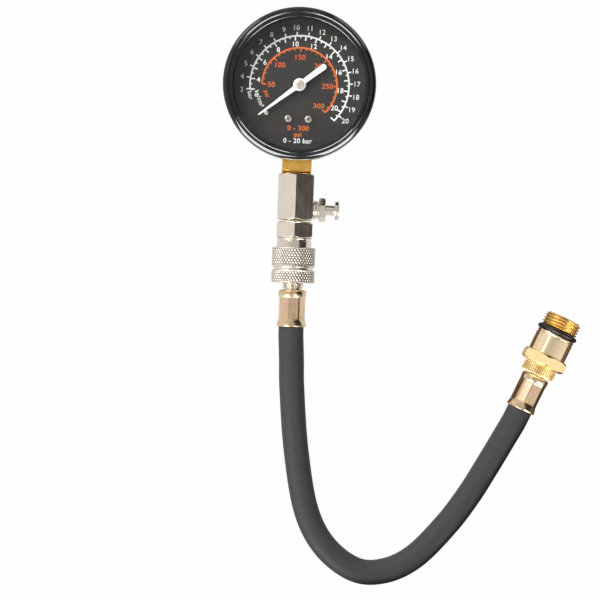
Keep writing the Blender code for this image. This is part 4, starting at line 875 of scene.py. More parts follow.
barScale = {
    "radius": 0.0234, "line": 0.00075, "first": 3, "last": 20, "tickLong": 0.0018, "tickWide": 0.00062,
    "endAngle": -44.2, "numberRadius": 0.0274, "tall": 0.0024, "bold": 0.008,
}
kiloScale = {
    "first": 4, "last": 20, "firstTick": 3, "lastTick": 21, "tickLong": 0.0022,
    "tickShort": 0.0011, "tickWide": 0.00062, "numberRadius": 0.0196, "tall": 0.0024, "bold": 0.014,
}
psiScale = {
    "radius": 0.0177, "line": 0.0008, "first": 50, "last": 300, "tickLong": 0.0019, "tickShort": 0.0011,
    "tickWide": 0.00055, "numberRadius": 0.0133, "tall": 0.0025, "bold": 0.006,
}
whiteShapes, orangeShapes = [], []


def angleOf(value, perUnit):
    return face["zeroAngle"] - value * perUnit


def onRing(radius, angle):
    return radius * math.cos(math.radians(angle)), radius * math.sin(math.radians(angle))




def addNumbers(shapes, scale, perUnit, step):
    for value in range(scale["first"], scale["last"] + 1, step):
        angle = angleOf(value, perUnit)
        shapes.append(letters(str(value), scale["tall"], *onRing(scale["numberRadius"], angle), bold=scale["bold"]))


scale = barScale
startAngle = angleOf(scale["first"], face["perBar"])
whiteShapes.append(arcBand(scale["radius"], scale["line"], startAngle, scale["endAngle"]))
for value in range(scale["first"], scale["last"] + 1):
    angle = angleOf(value, face["perBar"])
    whiteShapes.append(tick(angle, scale["radius"], scale["radius"] + scale["tickLong"], scale["tickWide"]))
addNumbers(whiteShapes, scale, face["perBar"], 1)
scale = kiloScale
for half in range(2 * scale["firstTick"], 2 * scale["lastTick"] + 1):
    angle = angleOf(half / 2, face["perKilo"])
    reach = scale["tickLong"] if half % 2 == 0 else scale["tickShort"]
    whiteShapes.append(tick(angle, barScale["radius"] - reach, barScale["radius"], scale["tickWide"]))
addNumbers(whiteShapes, scale, face["perKilo"], 2)
scale = psiScale
orangeShapes.append(arcBand(
    scale["radius"], scale["line"], angleOf(scale["first"], face["perPsi"]), angleOf(scale["last"], face["perPsi"])
))
for value in range(scale["first"], scale["last"] + 1, 10):
    reach = scale["tickLong"] if value % 50 == 0 else scale["tickShort"]
    orangeShapes.append(tick(
        angleOf(value, face["perPsi"]), scale["radius"] - reach, scale["radius"], scale["tickWide"]
    ))
addNumbers(orangeShapes, scale, face["perPsi"], 50)
# Plain unit marks at the foot of each scale, and two plain range lines
for text, radius, angle, target in (
    ("bar", 0.0236, 193.5, whiteShapes), ("kg/cm²", 0.0199, 200.5, whiteShapes), ("psi", 0.0158, 196.5, orangeShapes),
):
    target.append(letters(text, 0.0021, *onRing(radius, angle), turn=angle + 90))
orangeShapes.append(letters("0 - 300", 0.0024, 0, -0.0202, bold=0.014))
orangeShapes.append(letters("psi", 0.0023, 0, -0.0232, bold=0.014))
whiteShapes.append(letters("0 - 20 bar", 0.0023, 0, -0.0262, bold=0.014))
makePiece("dial_print_white", joined(*whiteShapes), printWhite, "gauge_body", sharp=60)
makePiece("dial_print_orange", joined(*orangeShapes), printOrange, "gauge_body", sharp=60)
print("dial printed")

# Pointer: a flat white needle with a disc and a round-ended tail
needle = {
    "angle": 218.1, "low": 0.022, "thick": 0.0005, "tipReach": 0.0242, "tipWidth": 0.0006, "rootWidth": 0.0022,
    "tailReach": 0.0154, "tailRootWidth": 0.0023, "tailWidth": 0.0028, "disc": 0.003, "edge": 0.00009,
}


def pointerOutline(needle):
    outline = []
    tipHalf, rootHalf = needle["tipWidth"] / 2, needle["rootWidth"] / 2
    tailHalf, tailRootHalf = needle["tailWidth"] / 2, needle["tailRootWidth"] / 2
    for i in range(7):  # the needle's fine tip
        turn = -math.pi / 2 + math.pi * i / 6
        outline.append((needle["tipReach"] - tipHalf + tipHalf * math.cos(turn), tipHalf * math.sin(turn)))
    first = math.asin(rootHalf / needle["disc"])
    last = math.pi - math.asin(tailRootHalf / needle["disc"])
    for i in range(19):
        turn = first + (last - first) * i / 18
        outline.append((needle["disc"] * math.cos(turn), needle["disc"] * math.sin(turn)))
    for i in range(17):  # the tail's round end
        turn = math.pi / 2 + math.pi * i / 16
        outline.append((-needle["tailReach"] + tailHalf + tailHalf * math.cos(turn), tailHalf * math.sin(turn)))
    for i in range(19):
        turn = math.tau - last + (last - first) * i / 18
        outline.append((needle["disc"] * math.cos(turn), needle["disc"] * math.sin(turn)))
    return outline


pointerPlace = Matrix.Rotation(math.radians(needle["angle"]), 4, "Z")
pointer = makePiece(
    "pointer_needle", plate(pointerOutline(needle), needle["low"], needle["low"] + needle["thick"]),
    pointerWhite, "pointer_arbor", ["pointer"], place=pointerPlace,
)
edge = pointer.modifiers.new("edge", "BEVEL")
edge.width = needle["edge"]
edge.segments = 2
edge.limit_method = "ANGLE"
edge.angle_limit = math.radians(50)
pointer.modifiers.move(1, 0)

hub = {
    "shaft": 0.0006, "bush": 0.0013, "cap": 0.0018, "flange": 0.0022, "low": 0.0225, "flangeTop": 0.0232,
    "capTop": 0.0238,
}
bush = rounded([
    (hub["shaft"] + 0.00005, hub["low"], 0), (hub["flange"], hub["low"], 0.0001),
    (hub["flange"], hub["flangeTop"], 0.00015),
    (hub["cap"], hub["flangeTop"], 0.0001), (hub["cap"], hub["capTop"], 0.00025),
    (hub["bush"], hub["capTop"], 0.00005), (hub["bush"] - 0.00015, hub["capTop"] - 0.00015, 0.00005),
    (hub["shaft"] + 0.00005, hub["capTop"] - 0.00015, 0),
], 3)
shaftEnd = rounded([
    (0, hub["low"], 0), (hub["shaft"], hub["low"], 0), (hub["shaft"], hub["capTop"] - 0.0001, 0.0002),
    (0, hub["capTop"], 0),
], 3, closed=False)
makePiece(
    "pointer_bush", joined(turned(bush, 64), turned(shaftEnd, 32, closed=False)), [steelPlain, bronzeSpring],
    "pointer_arbor", ["pointer_hub"],
    zones=lambda centre: 1 if math.hypot(centre.x, centre.y) < hub["shaft"] else 0,
)

# Screws: pan heads with a crossed recess
dialScrewValues = {
    "radius": 0.0018, "height": 0.0011, "slot": 0.0006, "deep": 0.0005, "turn": 0.5, "shank": 0.0011, "long": 0.0045,
    "across": 0.00475, "down": -0.016, "seat": 0.0203,
}
caseScrewValues = {
    "radius": 0.0023, "height": 0.0015, "slot": 0.0007, "deep": 0.0007, "turn": 0.3, "shank": 0.0012, "long": 0.005,
    "angle": 17.5, "reach": 0.0338,
}


def panScrew(name, node, screw, place):
    profile = rounded([
        (0, -screw["long"], 0), (screw["shank"], -screw["long"], 0.0002), (screw["shank"], 0, 0),
        (screw["radius"], 0, 0.0001),
        (screw["radius"], screw["height"] * 0.42, 0.0002), (screw["radius"] * 0.82, screw["height"] * 0.9, 0.0005),
        (0, screw["height"], 0),
    ], 5, closed=False)
    piece = makePiece(
        name, turned(profile, 56, closed=False), [steelPlain, recessPaintedShade], "gauge_body", [node], place=place
    )
    recess = block(screw["radius"] * 1.25, screw["slot"], screw["height"] - screw["deep"], screw["height"] * 2)
    # the faces cut by the recess take the second finish, painted shade
    for crossed in (0, math.pi / 2):
        cutWith(piece, recess, place @ Matrix.Rotation(screw["turn"] + crossed, 4, "Z"), materialIndex=1)


for side, sign in (("left", -1), ("right", 1)):
    screw = dialScrewValues
    seat = Matrix.Translation((sign * screw["across"], screw["down"], screw["seat"]))
    panScrew("dial_screw_head_" + side, "dial_screw_" + side, screw, seat)
    around = -math.pi / 2 + sign * math.radians(caseScrewValues["angle"])
    lift = caseScrewValues["reach"]
    seat = (
        Matrix.Translation((lift * math.cos(around), lift * math.sin(around), places["stackHeight"]))
        @ Matrix.Rotation(around, 4, "Z") @ Matrix.Rotation(math.pi / 2, 4, "Y")
    )
    panScrew("case_screw_head_" + side, "case_screw_" + side, caseScrewValues, seat)

# Zero pin beside the pointer
pin = {
    "reach": 0.0204, "angle": 221.6, "radius": 0.00055, "collar": 0.00105, "low": 0.0196, "collarTop": 0.0206,
    "top": 0.0231,
}
pinPlace = Matrix.Translation((*onRing(pin["reach"], pin["angle"]), 0))
profile = rounded([
    (0, pin["low"], 0), (pin["collar"], pin["low"], 0), (pin["collar"], pin["collarTop"], 0.0002),
    (pin["radius"], pin["collarTop"], 0.0001), (pin["radius"], pin["top"], 0.0003), (0, pin["top"], 0),
], 4, closed=False)
makePiece(
    "zero_stop", turned(profile, 40, closed=False), steelPlain, "gauge_body", ["zero_pin"], place=pinPlace
)
print("pointer and screws made")

# Neck: a square brass bar out of the case, turned to a chamfer below and to a stub in the block
neck = {
    "flats": 0.014, "sides": 4, "edgeRound": 0.0006, "start": 0.0138, "end": 0.041, "startFace": 0.0096,
    "endFace": 0.0067, "chamferAngle": 28, "soft": 0.0001, "shank": 0.0065, "shankEnd": 0.052, "shankCut": 0.0006,
    "tongueWidth": 0.01, "tongueStart": 0.0035, "tongueLow": -0.006, "tongueHigh": -0.0021,
    "wingSpan": 0.0252, "wingHeight": 0.006, "wingStart": 0.026, "wingEnd": 0.0294,
    "boss": 0.0021, "bossFoot": 0.0165, "bossTop": 0.0191, "screwHole": 0.0014, "holeFloor": 0.0152, "holeTop": 0.022,
}
neckPiece = makePiece(
    "neck_bar", milledBar(neck, neck["start"], neck["end"], [
        (neck["shank"], neck["end"]), (neck["shank"], neck["shankEnd"] - neck["shankCut"]),
        (neck["shank"] - neck["shankCut"], neck["shankEnd"]), (0, neck["shankEnd"]), (0, neck["start"]),
    ]),
    brassNeck, "gauge_body", ["stem_socket"], place=stackFrame,
)
tongueTall = neck["tongueHigh"] - neck["tongueLow"]
tongue = moved(
    block(neck["tongueWidth"], tongueTall, neck["tongueStart"], neck["start"] + 0.0006),
    Matrix.Translation((0, (neck["tongueHigh"] + neck["tongueLow"]) / 2, 0)),
)
wings = block(neck["wingSpan"], neck["wingHeight"], neck["wingStart"], neck["wingEnd"])
for shape in (tongue, wings):  # inside the case: the movement's tongue, and wings for the case screws
    cutWith(neckPiece, shape, stackFrame, "UNION")
for sign in (-1, 1):  # bosses under the dial, drilled for its screws
    bossPlace = Matrix.Translation((sign * dialScrewValues["across"], dialScrewValues["down"], 0))
    for reach, low, high, operation in (
        (neck["boss"], neck["bossFoot"], neck["bossTop"], "UNION"),
        (neck["screwHole"], neck["holeFloor"], neck["holeTop"], "DIFFERENCE"),
    ):
        peg = turned([(0, low), (reach, low), (reach, high), (0, high)], 32, closed=False)
        cutWith(neckPiece, peg, bossPlace, operation)

# Block: the upper hexagon that the release valve screws into
hexagon = {
    "flats": 0.017, "sides": 6, "edgeRound": 0.00035, "start": 0.0413, "end": 0.0635, "startFace": 0.0081,
    "endFace": 0.0081, "chamferAngle": 30, "soft": 0.00012,
    "bores": [(0.0053, 0.0635), (0.0053, 0.06), (0.002, 0.06), (0.002, 0.053), (0.0068, 0.053), (0.0068, 0.0413)],
    "port": [(0, 0.0008), (0.0029, 0.0008), (0.0029, 0.0056), (0.0038, 0.0056), (0.0038, 0.017), (0, 0.017)],
}
blockPiece = makePiece(
    "manifold_block", milledBar(hexagon, hexagon["start"], hexagon["end"], hexagon["bores"]), nickelBar,
    "gauge_body", ["manifold"], place=stackFrame,
)
cutWith(blockPiece, turned(hexagon["port"], 64, closed=False), valveFrame)

# Release valve: hexagon body and its button
valve = {
    "flats": 0.01, "sides": 6, "edgeRound": 0.0003, "startFace": 0.0049, "endFace": 0.0048, "chamferAngle": 30,
    "soft": 0.0001, "turnedBy": math.radians(12), "foot": 0.0088, "hexStart": 0.01115, "hexEnd": 0.01455,
    "neck": 0.0045, "waist": 0.0042, "bore": 0.0029, "shank": 0.0035, "shankStart": 0.0059, "seat": 0.0013,
    "seatStart": 0.0083, "seatEnd": 0.0093,
}
valveInside = [
    (valve["bore"], valve["hexEnd"], 0), (valve["bore"], valve["seatEnd"], 0), (valve["seat"], valve["seatEnd"], 0),
    (valve["seat"], valve["seatStart"], 0), (valve["bore"], valve["seatStart"], 0),
    (valve["bore"], valve["shankStart"], 0),
]
valveOutside = [
    (valve["shank"], valve["shankStart"], 0.0003), (valve["shank"], valve["foot"], 0),
    (valve["neck"], valve["foot"], 0.00015),
    (valve["neck"], valve["foot"] + 0.0009, 0.0002), (valve["waist"], valve["foot"] + 0.0012, 0.0002),
    (valve["waist"], valve["hexStart"], 0),
]
makePiece(
    "release_valve_body",
    milledBar(
        valve, valve["hexStart"], valve["hexEnd"], rounded(valveInside + valveOutside, 3, closed=False),
        valve["turnedBy"], 192,
    ),
    nickelTurned, "gauge_body", ["valve_body"], place=valveFrame,
)
button = {
    "stem": 0.0024, "stemStart": 0.01355, "headStart": 0.0189, "headEnd": 0.0208, "head": 0.00455, "rim": 0.0003,
    "dish": 0.00025, "rod": 0.0009, "discStart": 0.0062, "discEnd": 0.0072, "disc": 0.0024,
}
profile = rounded([
    (0, button["discStart"], 0), (button["disc"], button["discStart"], 0.0001),
    (button["disc"], button["discEnd"], 0.0001),
    (button["rod"], button["discEnd"], 0), (button["rod"], button["stemStart"], 0),
    (button["stem"], button["stemStart"], 0.0002), (button["stem"], button["headStart"], 0.0005),
    (button["head"] - 0.0002, button["headStart"], 0.0002), (button["head"], button["headStart"] + 0.0004, 0.0003),
    (button["head"], button["headEnd"], button["rim"]), (button["head"] * 0.72, button["headEnd"], 0.0004),
    (button["head"] * 0.5, button["headEnd"] - button["dish"], 0.0008), (0, button["headEnd"] - button["dish"], 0),
], 5, closed=False)
makePiece(
    "release_button_head", turned(profile, 96, closed=False), nickelTurned, "release_button", ["valve_plunger"],
    place=valveFrame,
)

# Coupler: hexagon and neck, with a nose inside the sleeve
coupler = {
    "flats": 0.017, "sides": 6, "edgeRound": 0.00035, "start": 0.0642, "end": 0.0721, "startFace": 0.0081,
    "endFace": 0.0081, "chamferAngle": 30, "soft": 0.00012, "stub": 0.005, "stubStart": 0.061,
    "neck": 0.0083, "neckEnd": 0.0794, "nose": 0.0071, "noseEnd": 0.093, "noseEdge": 0.0004,
    "bores": [
        (0.0048, 0.093, 0.0003), (0.0048, 0.084, 0), (0.0062, 0.084, 0), (0.0062, 0.082, 0), (0.0048, 0.082, 0),
        (0.0048, 0.0802, 0), (0.002, 0.0802, 0), (0.002, 0.061, 0),
    ],
    "ballHole": 0.00205, "ballReach": 0.0085, "ballPlace": 0.0885,
}
couplerRest = rounded([
    (coupler["neck"], coupler["end"], 0), (coupler["neck"], coupler["end"] + 0.0004, 0.0001),
    (coupler["neck"] - 0.0003, coupler["end"] + 0.0007, 0.0001),
    (coupler["neck"] - 0.0003, coupler["end"] + 0.0013, 0.0001),
    (coupler["neck"], coupler["end"] + 0.0016, 0.0001), (coupler["neck"], coupler["neckEnd"], 0.0002),
    (coupler["nose"], coupler["neckEnd"], 0.0001), (coupler["nose"], coupler["noseEnd"], coupler["noseEdge"]),
    *coupler["bores"], (coupler["stub"], coupler["stubStart"], 0.0003), (coupler["stub"], coupler["start"], 0),
], 3, closed=False)
couplerPiece = makePiece(
    "coupler_hexagon", milledBar(coupler, coupler["start"], coupler["end"], couplerRest), [nickelBar, nickelTurned],
    "gauge_body", ["coupler_body"], place=stackFrame,
    zones=lambda centre: 0 if centre.z < coupler["end"] else 1,
)
hole, reach = coupler["ballHole"], coupler["ballReach"]
ballHole = turned([(0, -reach), (hole, -reach), (hole, reach), (0, reach)], 32, closed=False)
for i in range(2):  # four holes for the balls, drilled right through in pairs
    crossed = Matrix.Translation((0, 0, coupler["ballPlace"])) @ Matrix.Rotation(math.pi / 4 + i * math.pi / 2, 4, "Z")
    cutWith(couplerPiece, ballHole, stackFrame @ crossed @ Matrix.Rotation(math.pi / 2, 4, "X"), materialIndex=1)

# Sleeve: two diamond-knurled bands with a plain groove between
sleeve = {
    "radius": 0.01035, "start": 0.0765, "end": 0.0933, "groove": 0.0094, "grooveStart": 0.0856, "grooveEnd": 0.0874,
    "edge": 0.0006, "inner": 0.0086, "land": 0.0074, "landStart": 0.0865, "landEnd": 0.0907,
    "grooveSlope": 0.00035, "teeth": 44, "perTooth": 12, "slant": 1.6, "depth": 0.00024, "rows": 0.00014,
    "knurlInset": 0.0006,
}


def sleeveSection():
    top = []  # the outside, in even steps so that the knurl can be cut in it
    count = round((sleeve["end"] - sleeve["start"]) / sleeve["rows"])
    for i in range(count + 1):
        height = sleeve["start"] + (sleeve["end"] - sleeve["start"]) * i / count
        radius = sleeve["radius"]
        fromEnd = min(height - sleeve["start"], sleeve["end"] - height)
        if fromEnd < sleeve["edge"]:
            radius -= sleeve["edge"] - math.sqrt(max(sleeve["edge"] ** 2 - (sleeve["edge"] - fromEnd) ** 2, 0))
        inGroove = min(height - sleeve["grooveStart"], sleeve["grooveEnd"] - height) / sleeve["grooveSlope"]
        radius -= (sleeve["radius"] - sleeve["groove"]) * smoothStep(inGroove)
        top.append((radius, height))
    inside = [
        (sleeve["inner"], sleeve["end"]), (sleeve["inner"], sleeve["landEnd"]), (sleeve["land"], sleeve["landEnd"]),
        (sleeve["land"], sleeve["landStart"]), (sleeve["inner"], sleeve["landStart"]),
        (sleeve["inner"], sleeve["start"]),
    ]
    return top + inside


def knurl(radius, height, turn):
    if radius < sleeve["radius"] - 0.0001:
        return radius, height
    around = turn / math.tau * sleeve["teeth"]
    along = (height - sleeve["start"]) / (math.tau * sleeve["radius"] / sleeve["teeth"] * sleeve["slant"])
    first = abs((around + along) % 1.0 - 0.5) * 2
    second = abs((around - along) % 1.0 - 0.5) * 2
    cut = smoothStep((0.85 - min(first, second)) / 0.75)  # 1 in a groove of either helix, small diamonds between
    fromEnd = min(
        height - sleeve["start"], sleeve["end"] - height,
        abs(height - sleeve["grooveStart"]), abs(height - sleeve["grooveEnd"]),
    )
    fade = min(1.0, max(0.0, (fromEnd - sleeve["knurlInset"] * 0.4) / (sleeve["knurlInset"] * 0.6)))
    return radius - sleeve["depth"] * cut * fade, height


makePiece(
    "knurled_sleeve", turned(sleeveSection(), sleeve["teeth"] * sleeve["perTooth"], shape=knurl), nickelKnurl,
    "sleeve", ["coupler_sleeve"], place=stackFrame, sharp=50,
)

# Plug: its flange shows between the sleeve and the ferrule
plug = {
    "nose": 0.0045, "noseStart": 0.0806, "groove": 0.0033, "grooveAt": 0.0885, "grooveHalf": 0.0013,
    "flange": 0.005, "flangeStart": 0.0939, "flangeEnd": 0.096, "neck": 0.0043, "bore": 0.0015, "end": 0.0972,
}
middle = (plug["flangeStart"] + plug["flangeEnd"]) / 2
profile = rounded([
    (plug["bore"], plug["noseStart"], 0), (plug["nose"], plug["noseStart"], 0.0006),
    (plug["nose"], plug["grooveAt"] - plug["grooveHalf"], 0.0002), (plug["groove"], plug["grooveAt"] - 0.0004, 0.0003),
    (plug["groove"], plug["grooveAt"] + 0.0004, 0.0003), (plug["nose"], plug["grooveAt"] + plug["grooveHalf"], 0.0002),
    (plug["nose"], plug["flangeStart"], 0.0001), (plug["flange"], plug["flangeStart"], 0.0002),
    (plug["flange"], middle - 0.0004, 0.0002), (plug["flange"] - 0.0011, middle, 0.0002),
    (plug["flange"], middle + 0.0004, 0.0002), (plug["flange"], plug["flangeEnd"], 0.0002),
    (plug["neck"], plug["flangeEnd"], 0.0001), (plug["neck"], plug["end"], 0), (plug["bore"], plug["end"], 0),
], 3)
plugPiece = makePiece(
    "coupler_plug", turned(profile, 96), nickelTurned, "hose_line", ["plug"], place=stackFrame
)

# Ferrules: a rolled shoulder, a waist pressed to eight flats and a flared mouth
ferruleValues = {
    "length": 0.0176, "shoulder": 0.0067, "shoulderLength": 0.0031, "waist": 0.0064, "flat": 0.00612,
    "flare": 0.00705, "flareLength": 0.0034, "wall": 0.0006, "mouth": 0.0061, "hole": 0.0034, "flats": 8,
    "press": 0.0016, "step": 0.00035, "ridge": 0.00016,
}


def ferruleShape(ring, turnedBy):
    length = ring["length"]
    outside = rounded([  # from the mouth on the hose to the closed shoulder
        (ring["mouth"], 0, 0), (ring["flare"] - 0.0001, 0, 0.0003), (ring["flare"], 0.0009, 0.0006),
        (ring["waist"] + 0.00012, ring["flareLength"], 0.002),
        (ring["waist"] + 0.00012, length - ring["shoulderLength"] - 0.0006, 0.0015),
        (ring["shoulder"], length - ring["shoulderLength"] + 0.0007, 0.0012), (ring["shoulder"], length, 0.0014),
        (ring["hole"], length, 0.0001), (ring["hole"], length - 2 * ring["wall"], 0),
        (ring["mouth"], length - 2 * ring["wall"], 0),
    ], 6)
    outside = insert(outside, ring["step"])

    def pressed(radius, height, turn):
        if radius < ring["mouth"] + 0.00005:
            return radius, height
        half = math.pi / ring["flats"]
        fromFlat = (turn - turnedBy + half) % (2 * half) - half
        into = min(height - ring["flareLength"] * 0.62, length - ring["shoulderLength"] * 0.75 - height) / ring["press"]
        flat = ring["shoulder"] + 0.0004 + (ring["flat"] - ring["shoulder"] - 0.0004) * smoothStep(into)
        limit = flat / math.cos(fromFlat)
        gap, soft = radius - limit, ring["ridge"]  # the ridge where a flat meets the round is rounded
        return radius - 0.5 * (gap + math.sqrt(gap * gap + soft * soft)) if into > 0 else radius, height

    return turned(outside, 192, shape=pressed)


def ferruleFinish(values):
    material, tree, shader, place, smear = newFinish("passivated ferrule", values["smearScale"])
    shader.inputs["Metallic"].default_value = 1.0
    lines = placeGroup(tree, linesGroup, place, Across=values["across"], Along=values["along"])
    film = noiseNode(tree, place, values["filmScale"], 2)  # the film's thickness, which sets its tint
    filmLines = mathNode(
        tree, "ADD", film, mathNode(tree, "MULTIPLY", lines.outputs["Height"], values["filmLines"])
    )
    ramp = addNode(tree, "ShaderNodeValToRGB")
    for element, (position, tint) in zip(
        [*ramp.color_ramp.elements, *(ramp.color_ramp.elements.new(0.5) for _ in range(len(values["film"]) - 2))],
        values["film"],
    ):
        element.position = position
        element.color = (*tint, 1)
    tree.links.new(filmLines, ramp.inputs[0])
    colour = overlay(tree, ramp.outputs[0], smear, values["smearShare"], values["smearColour"])
    tree.links.new(colour, shader.inputs["Base Color"])
    tree.links.new(
        rangeNode(tree, lines.outputs["Height"], 0.3, 0.7, values["smooth"], values["rough"], False),
        shader.inputs["Roughness"],
    )
    bumpFrom(tree, lines.outputs["Height"], shader, values)
    return material


ferruleGold = ferruleFinish({
    "across": 1300, "along": 60, "filmScale": 130, "filmLines": 0.12, "smearScale": 90, "smearShare": 0.25,
    "smearColour": (0.74, 0.55, 0.37), "smooth": 0.13, "rough": 0.21, "bump": 0.05,
    "film": [
        (0.42, (0.74, 0.51, 0.345)), (0.78, (0.49, 0.44, 0.25)), (0.54, (0.78, 0.57, 0.36)), (0.64, (0.65, 0.48, 0.29)),
    ],
})
stackMouth = stackFrame @ Matrix.Translation((0, 0, places["plugMouth"])) @ Matrix.Rotation(math.pi, 4, "X")
plugFerrule = makePiece(
    "crimped_ferrule_upper", ferruleShape(ferruleValues, math.radians(8)), ferruleGold, "hose_line",
    ["plug_ferrule"], place=stackMouth, sharp=45,
)
endFerrule = makePiece(
    "crimped_ferrule_lower", ferruleShape(ferruleValues, math.radians(20)), ferruleGold, "hose_line",
    ["end_ferrule"], place=endFrame, sharp=45,
)
print("coupler and ferrules made")

# Hose end: a stem with a straight-knurled collar
collar = {
    "start": 0.0181, "end": 0.0229, "radius": 0.0082, "teeth": 46, "perTooth": 10, "depth": 0.00036, "edge": 0.00035,
    "stem": 0.0033, "stemStart": 0.0172, "nose": 0.0069, "noseEnd": 0.0331, "bore": 0.0032,
}
profile = insert(rounded([
    (collar["stem"], collar["stemStart"], 0), (collar["stem"], collar["start"], 0),
    (collar["radius"], collar["start"], collar["edge"]), (collar["radius"], collar["end"], collar["edge"]),
    (collar["nose"], collar["end"], 0), (collar["nose"], collar["noseEnd"], 0.0003),
    (collar["bore"], collar["noseEnd"], 0), (collar["bore"], collar["stemStart"] + 0.001, 0),
    (collar["stem"] - 0.0008, collar["stemStart"], 0),
], 4), 0.0007)


def ribs(radius, height, turn):
    if radius < collar["radius"] - collar["edge"] * 1.5:
        return radius, height
    phase = abs((turn / math.tau * collar["teeth"]) % 1.0 - 0.5) * 2
    return radius - collar["depth"] * smoothStep((phase - 0.35) / 0.5), height


endStem = makePiece(
    "knurled_hose_end", turned(profile, collar["teeth"] * collar["perTooth"], shape=ribs), brassRibs, "hose_line",
    ["hose_end_stem"], place=endFrame, sharp=50,
)

# Adapter: hexagon, turned barrel and a cut thread
adapter = {
    "flats": 0.0205, "sides": 6, "edgeRound": 0.0004, "start": 0.0232, "end": 0.0289, "startFace": 0.0098,
    "endFace": 0.0097, "chamferAngle": 30, "soft": 0.00013, "bore": 0.007, "barrel": 0.0092, "barrelEnd": 0.0392,
    "lip": 0.0003, "groove": 0.0073, "grooveMiddle": 0.0405, "mouth": 0.005, "mouthStart": 0.0362,
}
threadValues = {
    "radius": 0.009, "depth": 0.00092, "pitch": 0.0015, "start": 0.0418, "end": 0.0483, "crest": 0.14, "root": 0.16,
    "chamfer": 0.00115, "leadIn": 1.6,
}
barrelEnd, lip = adapter["barrelEnd"], adapter["lip"]
adapterRest = rounded([
    (adapter["barrel"], adapter["end"], 0), (adapter["barrel"], barrelEnd - 0.0016, 0.0001),
    (adapter["barrel"] - lip * 0.6, barrelEnd - 0.0014, 0.0001),
    (adapter["barrel"] - lip * 0.6, barrelEnd - 0.0012, 0.0001),
    (adapter["barrel"], barrelEnd - 0.001, 0.0001), (adapter["barrel"], barrelEnd, 0.0003),
    (adapter["groove"], barrelEnd, 0.0001), (adapter["groove"], threadValues["start"], 0),
    (adapter["mouth"], threadValues["start"], 0), (adapter["mouth"], adapter["mouthStart"], 0),
    (adapter["bore"], adapter["mouthStart"], 0),
    (adapter["bore"], adapter["start"], 0),
], 3, closed=False)
adapterBody = milledBar(adapter, adapter["start"], adapter["end"], adapterRest)
threadEnd = threadValues["end"]
threadTop = threadValues["radius"] - threadValues["chamfer"]
threadMouth = turned(rounded([
    (threadTop, threadEnd, 0), (adapter["mouth"] + 0.0004, threadEnd, 0.0001),
    (adapter["mouth"], threadEnd - 0.0004, 0.0001), (adapter["mouth"], threadValues["start"], 0),
], 2, closed=False), 144, closed=False)
threadFoot = turned([
    (adapter["groove"], threadValues["start"]), (threadValues["radius"] - threadValues["depth"], threadValues["start"]),
], 144, closed=False)
adapterPiece = makePiece(
    "thread_adapter", joined(adapterBody, threadShape(threadValues), threadMouth, threadFoot),
    [brassBar, brassBarrel, brassThread], "hose_line", ["adapter"], place=endFrame,
    zones=lambda centre: 0 if centre.z < adapter["end"] else (1 if centre.z < adapter["grooveMiddle"] else 2),
)

# Ring seal under the thread
seal = {"middle": 0.00875, "wire": 0.00115, "at": 0.0406, "flash": 0.00004}
profile = []
for i in range(28):
    turn = math.tau * i / 28
    wire = seal["wire"] + (seal["flash"] if i in (0, 14) else 0)
    profile.append((seal["middle"] + wire * math.cos(turn), seal["at"] + wire * math.sin(turn)))
sealPiece = makePiece(
    "thread_ring_seal", turned(profile, 160), ringRubber, "hose_line", ["adapter_o_ring"],
    place=endFrame, sharp=60,
)
print("adapter made")

# Springs: round wire with flat end turns
springValues = [
    {
        "name": "button_return_spring", "node": "valve_spring", "body": "gauge_body", "joint": "release_press",
        "place": valveFrame, "middle": 0.0019, "wire": 0.00025, "start": 0.0096, "end": 0.01325, "turns": 4,
        "flat": 0.45, "travel": 0.002,
    },
    {
        "name": "sleeve_return_spring", "node": "coupler_spring", "body": "gauge_body", "joint": "sleeve_slide",
        "place": stackFrame, "middle": 0.00785, "wire": 0.00035, "start": 0.0797, "end": 0.0862, "turns": 3,
        "flat": 0.35, "travel": 0.0032,
    },
    {
        "name": "pin_return_spring", "node": "check_valve_spring", "body": "hose_line", "joint": "check_valve_slide",
        "place": endFrame, "middle": 0.00145, "wire": 0.0002, "start": 0.02701, "end": 0.0303, "turns": 3,
        "flat": 0.35, "travel": 0.0012,
    },
]


def coilShape(spring, sides=10, steps=36):
    low, high = spring["start"] + spring["wire"], spring["end"] - spring["wire"]
    count = round(spring["turns"] * steps)
    vertices, faces = [], []
    for i in range(count + 1):
        turn = spring["turns"] * i / count
        share = (turn - spring["flat"]) / (spring["turns"] - 2 * spring["flat"])
        height = low + (high - low) * min(max(share, 0), 1)
        for side in range(sides):
            around = math.tau * side / sides
            radius = spring["middle"] + spring["wire"] * math.cos(around)
            vertices.append((
                radius * math.cos(math.tau * turn), radius * math.sin(math.tau * turn),
                height + spring["wire"] * math.sin(around),
            ))
            if i < count:
                here, after = i * sides + side, i * sides + (side + 1) % sides
                faces.append((here, here + sides, after + sides, after))
    faces += [tuple(range(sides)), tuple(range(len(vertices) - 1, len(vertices) - sides - 1, -1))]
    return vertices, faces


for spring in springValues:
    piece = makePiece(
        spring["name"], coilShape(spring), steelPlain, spring["body"], [spring["node"]], place=spring["place"],
        sharp=60,
    )
    way = spring["place"].to_3x3() @ Vector((0, 0, 1))
    seat = spring["place"] @ Vector((0, 0, spring["start"]))
    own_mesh(piece)
print("springs made")

